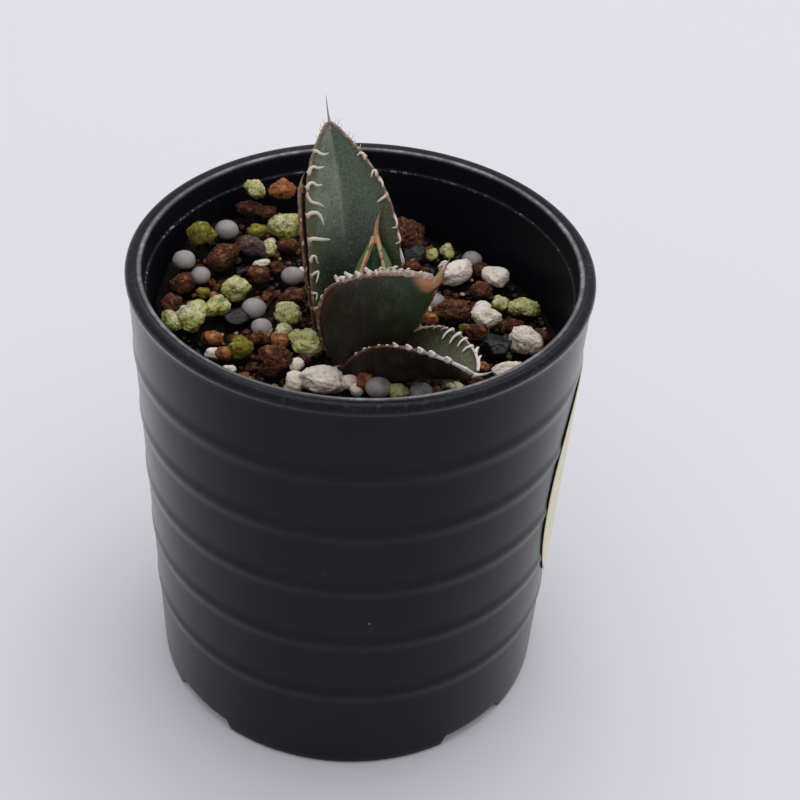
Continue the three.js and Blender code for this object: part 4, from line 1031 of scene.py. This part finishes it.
OVER = [(-0.35, 0.15), (-0.25, 0.4), (0.5, 0.3), (1.2, -0.1)]
THIN = [(-0.2, 0.15), (-0.1, 0.5), (0.3, 0.7)]
BLUNT = [(-0.5, 0.1), (-1.0, 0.3), (-1.25, 0.75)]
FLAT = [(-0.3, 0.3), (-0.5, 0.8), (-0.3, 1.3)]
CURLY = [(-0.6, 0.3), (-1.3, -0.1), (-1.6, -0.9), (-1.0, -1.3), (-0.6, -0.8)]
FINGER = [(-0.3, 0.1), (0.3, 0.1), (1.3, -0.5), (2.2, -1.0)]
LYING = [(-0.3, 0.1), (0.1, -0.3), (0.5, -1.1), (0.6, -1.8)]
KNOB = [(-0.5, 0.1), (-1.0, 0.3)]
TEETH = {
    "leaf_back": (BACK_LEFT, BACK_RIGHT),
    "leaf_left": (teeth(0.35, 0.95, 6, 0.36, THIN, 3), teeth(0.3, 0.93, 7, 0.36, OVER, 4)),
    "leaf_front": (teeth(0.4, 0.95, 10, 0.42, OVER, 5),
                   teeth(0.42, 0.6, 3, 0.36, THIN, 6) + teeth(0.68, 0.86, 6, 0.86, BLUNT, 7)
                   + teeth(0.86, 0.975, 6, 0.62, FLAT, 13) + teeth(0.88, 0.985, 7, 0.15, CURLY, 15)),
    "leaf_right": (teeth(0.34, 0.58, 5, 0.5, LYING, 8) + teeth(0.64, 0.86, 4, 0.62, FINGER, 14)
                   + [(0.92, 0.7, KNOB), (0.97, 0.6, KNOB)],
                   teeth(0.2, 0.5, 5, 0.3, THIN, 9)
                   + [(t, size, KNOB) for t, size in ((0.575, 0.66), (0.665, 0.86), (0.74, 0.96), (0.81, 1.0),
                                                      (0.9, 1.0))]),
    "leaf_centre": (teeth(0.5, 0.7, 3, 0.3, THIN, 11), teeth(0.5, 0.7, 3, 0.3, THIN, 12)),
}
for leaf_name, halves in TEETH.items():
    print(leaf_name, "teeth:", [len(rows) for rows in halves])

# %% Edges: border, tooth and needle
TOOTH_LIFT, TOOTH_ROOT_FLARE, TOOTH_ROOT_REACH = 0.75, 0.7, 0.4
BORDER_THICKNESS, FACE_BORDER_THICKNESS, FACE_BORDER_LIFT, SPINE_ROOT = 0.6, 1.0, 0.22, 1.2
BORDER_ROWS, TOOTH_ROWS, SPINE_ROWS, TUBE_CORNERS, SPINE_CORNERS = 150, 24, 48, 12, 16


def edge_frame(leaf, t, sign, half_width):
    """On the border: its middle, and the way outwards in the face, square to the edge."""
    step = np.minimum(SMALL_STEP, 0.3 * (1 - t))
    along = unit(leaf_points(leaf, t + step, sign)[:, 0] - leaf_points(leaf, t - step, sign)[:, 0])
    face = leaf_normals(leaf, t, np.array([0.97 * sign]))[:, 0]
    outward = unit(np.cross(along, face)) * sign
    lift = FACE_BORDER_LIFT if half_width > ROUND_BORDER_LIMIT else -EDGE_THICKNESS / 2
    return leaf_points(leaf, t, sign)[:, 0] - half_width * outward + lift * face, outward


def add_border(form, leaf, sign, start, half_width):
    """Along the edge to the tip, with closer rings where the outline turns in; its width wavers by noise."""
    on_face = half_width > ROUND_BORDER_LIMIT
    thickness = FACE_BORDER_THICKNESS if on_face else BORDER_THICKNESS
    waver_share, widening_share = (0.5, 0.0) if on_face else (1, 0.9)
    left = np.linspace(1, 0.07, BORDER_ROWS)
    t = start + (1 - start) * (1 - left ** 2.2)
    point, outward = edge_frame(leaf, t, sign, half_width)
    waver = 1 + waver_share * (0.25 * noise(point / 0.9, 31) + 0.15 * noise(point / 0.35, 32))
    waver *= np.clip((t - start) / 0.06, 0.25, 1)
    widening = 1 + widening_share * np.clip((t - 0.86) / 0.12, 0, 1)
    rings = sweep(point, outward, (half_width + 0.06) * waver * widening, thickness / 2 * waver, TUBE_CORNERS)
    form.grid(rings, horn=0.0, needle=0.0, reach=t[:, None])


def add_tooth(form, leaf, sign, half_width, row):
    """The path is corner-cut and evenly resampled; it lifts off the face by sin, and its end is round."""
    t, thickness, corners = row
    root, outward = (a[0] for a in edge_frame(leaf, np.array([t]), sign, half_width))
    _, side, face = (a[0] for a in leaf_frame(leaf, np.array([t])))
    along = np.cross(face, side)
    flat = rounded([(-0.15, 0.0), (0.0, 0.0)] + corners, 3)
    run = np.concatenate([[0], np.cumsum(np.linalg.norm(np.diff(flat, axis=0), axis=1))])
    s = np.linspace(0, 1, TOOTH_ROWS)
    inward, ahead = (np.interp(s * run[-1], run, flat[:, k]) for k in (0, 1))
    lift = TOOTH_LIFT * min(1, run[-1] / 2.5) * np.sin(0.75 * np.pi * s)
    lift = lift - 0.8 * np.tan(np.radians(leaf["fold"])) * inward
    path = root - sign * inward[:, None] * side + ahead[:, None] * along + lift[:, None] * face
    body = 0.5 * thickness * (1 - 0.45 * s) * np.sqrt(np.maximum(1 - s ** 7, 0.01))
    flare = 1 + TOOTH_ROOT_FLARE * np.exp(-(s * run[-1] / TOOTH_ROOT_REACH) ** 2)
    rings = sweep(path, along + 0.2 * outward, body * flare, 0.39 * body * (1 + flare), TUBE_CORNERS)
    form.grid(rings, horn=np.clip(0.3 + 1.8 * s, 0, 1)[:, None], needle=0.0, reach=t)


def add_spine(form, leaf):
    """The needle, from inside the tip: r = thin (1 - 0.85 s^1.5) + flare exp(-(distance / 1.3)^2)."""
    tip, below = leaf_points(leaf, 1.0, 0.0)[0, 0], leaf_points(leaf, 0.97, 0.0)[0, 0]
    along = unit(tip - below)
    _, side, face = (a[0] for a in leaf_frame(leaf, np.array([1.0])))
    length, thin, flare = leaf["spine"] + SPINE_ROOT, *leaf["spine_radius"]
    s = np.linspace(0, 1, SPINE_ROWS)[:, None]
    path = (tip - SPINE_ROOT * along - 0.35 * face + length * s * along
            + length * s ** 2 * (leaf["spine_turn"][0] * side + leaf["spine_turn"][1] * face))
    s = s[:, 0]
    radius = thin * (1 - 0.85 * s ** 1.5) + flare * np.exp(-((s * length) / 1.3) ** 2)
    form.grid(sweep(path, side, radius, 0.8 * radius, SPINE_CORNERS), horn=0.0, needle=1.0, reach=s[:, None])


def make_margin(name, finish):
    """Both borders with their teeth, and the needle."""
    leaf, half_width = LEAVES[name], BORDERS[name]
    form = Form()
    for sign, start, rows in zip((-1.0, 1.0), leaf["start"], TEETH[name]):
        add_border(form, leaf, sign, start, half_width)
        for row in rows:
            add_tooth(form, leaf, sign, half_width, row)
    add_spine(form, leaf)
    form.make(name + "_margin", finish, name + "_margin")


# %% [markdown]
# ## Leaf finishes
#
# The inner face is grey-green with a pale bloom and fine dots, and one half of it is darker with painted shade, as the
# fold turns it from the light; the outer side is dark olive, greener towards the tip.
# The horn is brown along the border and turns cream on the teeth. The blade keeps t and v with its points, so the
# finish can follow the midrib and the edges.

# %% Leaves: finishes
def leaf_skin(name, inner, outer, gloss=0.44):
    """The numbers along, across and top that the blade keeps say where on the leaf a point lies."""
    finish = Finish(name, Specular_IOR_Level=0.4)
    along, across, top = (finish.number(key) for key in ("along", "across", "top"))
    dots = finish.noise(2300, 3, 0.6)
    cloud = finish.noise(240, 4, 0.6)
    from_midrib = abs(across)
    blotch = finish.noise(420, 4, 0.65, (1, 1, 0.6))
    # Painted shade: the half with across above 0 takes the darker right-half colour, as the fold turns it from the
    # light.
    upper = finish.layers(
        finish.blend(across.above(-0.05, 0.05), inner[0], inner[1]),
        (cloud.above(0.42, 0.66) * 0.35, inner[3]),
        (along.above(0.68, 0.3) * 0.92, inner[2]),
        ((from_midrib + 0.5 * cloud).above(0.85, 1.25) * 0.85, inner[3]),
        (dots.above(0.5, 0.34) * 0.45, (30, 38, 28)),
        (dots.above(0.55, 0.7) * 0.25, (176, 186, 172)))
    lower = finish.layers(
        outer[0],
        ((along * 0.9 - across * 0.25 + cloud * 0.4).above(0.6, 1.05), outer[1]),
        (blotch.above(0.5, 0.68) * 0.35, (86, 82, 70)),
        (blotch.above(0.46, 0.3) * 0.4, (18, 18, 14)),
        (dots.above(0.52, 0.7) * 0.12, (120, 124, 104)),
        (from_midrib.above(0.86, 1.0) * 0.8, outer[2]),
        ((along - from_midrib * 0.05).above(0.89, 0.935) * 0.9, outer[3]))
    base = finish.layers(lower, (top, upper), (along.above(0.965, 0.995) * 0.7, outer[3]))
    lines = finish.node("ShaderNodeTexNoise", {}, {
        "Vector": finish.node("ShaderNodeCombineXYZ", {}, {0: across * 60.0, 1: along * 6.0, 2: 0.0}),
        "Scale": 1.0, "Detail": 2.0})
    return finish.wear(Base_Color=base, Roughness=gloss + 0.14 * cloud,
                       relief=[(lines, 0.00006), (finish.noise(1800, 3, 0.6), 0.00004)])


def horn(name, border, root, pale, needle, patchy, pale_tip):
    """Brown border, paler in patches and near the tip; teeth run from their root's colour to cream."""
    finish = Finish(name, Specular_IOR_Level=0.45)
    amount, reach, is_needle = (finish.number(key) for key in ("horn", "reach", "needle"))
    patch = finish.noise(700, 3, 0.6)
    fibre = finish.noise(1500, 2, 0.5, (3, 3, 0.4)).above(0.42, 0.6)
    dark = reach.above(0.55, 1.0) * 0.45 + fibre * 0.35
    base = finish.layers(
        border,
        (patch.above(0.5, 0.66) * patchy, pale),
        ((reach + 0.2 * patch).above(0.75, 1.1) * pale_tip, pale),
        (amount.above(0.1, 0.3), root),
        (amount.above(0.35, 0.75), pale),
        (patch.above(0.56, 0.72) * 0.3, root),
        (is_needle, finish.blend(dark, needle, (84, 66, 54))))
    return finish.wear(Base_Color=base, Roughness=0.4 + 0.16 * patch,
                       relief=[(finish.noise(2600, 3, 0.6), 0.00005)])


# %% Leaves: colours, then blades and margins
# inner face: left half, right half (darker, with painted shade), base and edge; outer side: base, towards the tip, at
# the edge, the tip's patch
SKINS = {
    "leaf_back": dict(inner=((142, 150, 136), (100, 112, 98), (34, 40, 23), (84, 92, 60)),
                      outer=((52, 60, 42), (70, 80, 58), (84, 70, 48), (120, 92, 70))),
    "leaf_left": dict(inner=((84, 84, 66), (74, 74, 56), (66, 46, 34), (90, 64, 46)),
                      outer=((62, 42, 32), (66, 60, 46), (84, 52, 38), (110, 78, 60))),
    "leaf_front": dict(inner=((92, 100, 84), (80, 90, 74), (56, 64, 46), (92, 84, 60)),
                       outer=((42, 38, 29), (38, 62, 30), (96, 72, 48), (176, 122, 84)), gloss=0.5),
    "leaf_right": dict(inner=((112, 114, 94), (70, 72, 56), (46, 48, 34), (84, 72, 50)),
                       outer=((32, 28, 21), (40, 38, 29), (84, 52, 34), (96, 66, 46))),
    "leaf_centre": dict(inner=((42, 86, 56), (36, 70, 48), (44, 84, 46), (60, 90, 46)),
                        outer=((86, 112, 56), (84, 112, 58), (104, 104, 58), (150, 116, 84))),
}
# border, a tooth's root, a tooth's end, needle, how patchy the border is, and how pale it is near the tip
HORNS = {
    "leaf_back": ((92, 76, 52), (196, 162, 138), (228, 216, 202), (158, 146, 136), 0.25, 0.1),
    "leaf_left": ((112, 72, 46), (150, 112, 84), (206, 190, 176), (186, 152, 130), 0.2, 0.12),
    "leaf_front": ((122, 86, 60), (176, 142, 118), (226, 214, 202), (186, 150, 104), 0.5, 0.3),
    "leaf_right": ((104, 58, 40), (196, 172, 154), (238, 232, 222), (238, 231, 220), 0.15, 0.9),
    "leaf_centre": ((196, 142, 102), (186, 146, 116), (214, 176, 140), (196, 146, 108), 0.6, 0.3),
}
for leaf_name in LEAVES:
    make_blade(leaf_name, leaf_skin(leaf_name.replace("leaf", "skin"), **SKINS[leaf_name]))
    make_margin(leaf_name, horn(leaf_name.replace("leaf", "horn"), *HORNS[leaf_name]))

# %% [markdown]
# ## Stem
#
# The leaves grow from a short stem that stands in the mix. Almost none of it shows, so a tapering lathe with the
# rings that old leaves leave behind is enough.

# %% Stem
STEM_FOOT, STEM_TOP, LEAF_SCAR_SPACING = 56, 73.6, 1.6


def make_stem(finish):
    """A tapering column with a shallow ring at each scar: r = taper + 0.08 sin(2 pi z / spacing)."""
    z = np.linspace(STEM_FOOT, STEM_TOP, 60)
    radius = np.interp(z, [STEM_FOOT, 70, 72.8, STEM_TOP], [2.0, 3.2, 3.0, 1.6])
    radius += 0.08 * np.sin(2 * np.pi * z / LEAF_SCAR_SPACING)
    rings = lathe(np.stack([radius, z], -1), 40) + np.array([STEM_X, STEM_Y, 0])
    Form().grid(rings).make("stem", finish, "stem")


def stem_skin():
    finish = Finish("stem_skin", Specular_IOR_Level=0.3, Roughness=0.75)
    patch = finish.noise(500, 4, 0.6)
    return finish.wear(Base_Color=finish.blend(patch, (120, 118, 84), (84, 74, 52)),
                       relief=[(patch, 0.0002)])


make_stem(stem_skin())

# %% [markdown]
# ## Floor and light
#
# The pot stands on a plain pale floor under soft daylight: an even pale sky, and one wide lamp overhead, a little
# behind the pot, so that the floor in front is darker. The sky and the floor give the plastic its sheen at the sides.

# %% Floor
FLOOR_REACH = 4


def make_floor():
    mesh = bpy.data.meshes.new("floor")
    corners = [(x * FLOOR_REACH, y * FLOOR_REACH, 0) for x, y in ((-1, -1), (1, -1), (1, 1), (-1, 1))]
    mesh.from_pydata(corners, [], [(0, 1, 2, 3)])
    shade = colour(231, 230, 235)
    mesh.materials.append(Finish("pale_floor", Base_Color=shade, Roughness=0.9, Specular_IOR_Level=0.2).material)
    new_object("floor", mesh)


make_floor()


# %% Light
SKY_COLOUR, SKY_STRENGTH = (0.96, 0.955, 1.0, 1.0), 0.7
LAMP_PLACE, LAMP_AIM = np.array([0.12, 0.3, 1.2]), np.array([0.0, 0.0, 0.05])
LAMP_SIZE, LAMP_POWER = 1.1, 5.3


def make_light():
    """A lamp shines along its own -Z, so its backward direction runs from what it aims at to its place."""
    world = bpy.data.worlds.new("studio")
    bpy.context.scene.world = world
    world.use_nodes = True
    background = world.node_tree.nodes["Background"]
    background.inputs["Color"].default_value = SKY_COLOUR
    background.inputs["Strength"].default_value = SKY_STRENGTH
    data = bpy.data.lights.new("window", "AREA")
    data.energy, data.size = LAMP_POWER, LAMP_SIZE
    back = unit(LAMP_PLACE - LAMP_AIM)
    right = unit(np.cross((0.0, 0.0, 1.0), back))
    new_object("window", data).matrix_world = standing(right, np.cross(back, right), LAMP_PLACE)


make_light()
bpy.context.scene.view_settings.view_transform = "Standard"
bpy.context.scene.view_settings.look = "None"
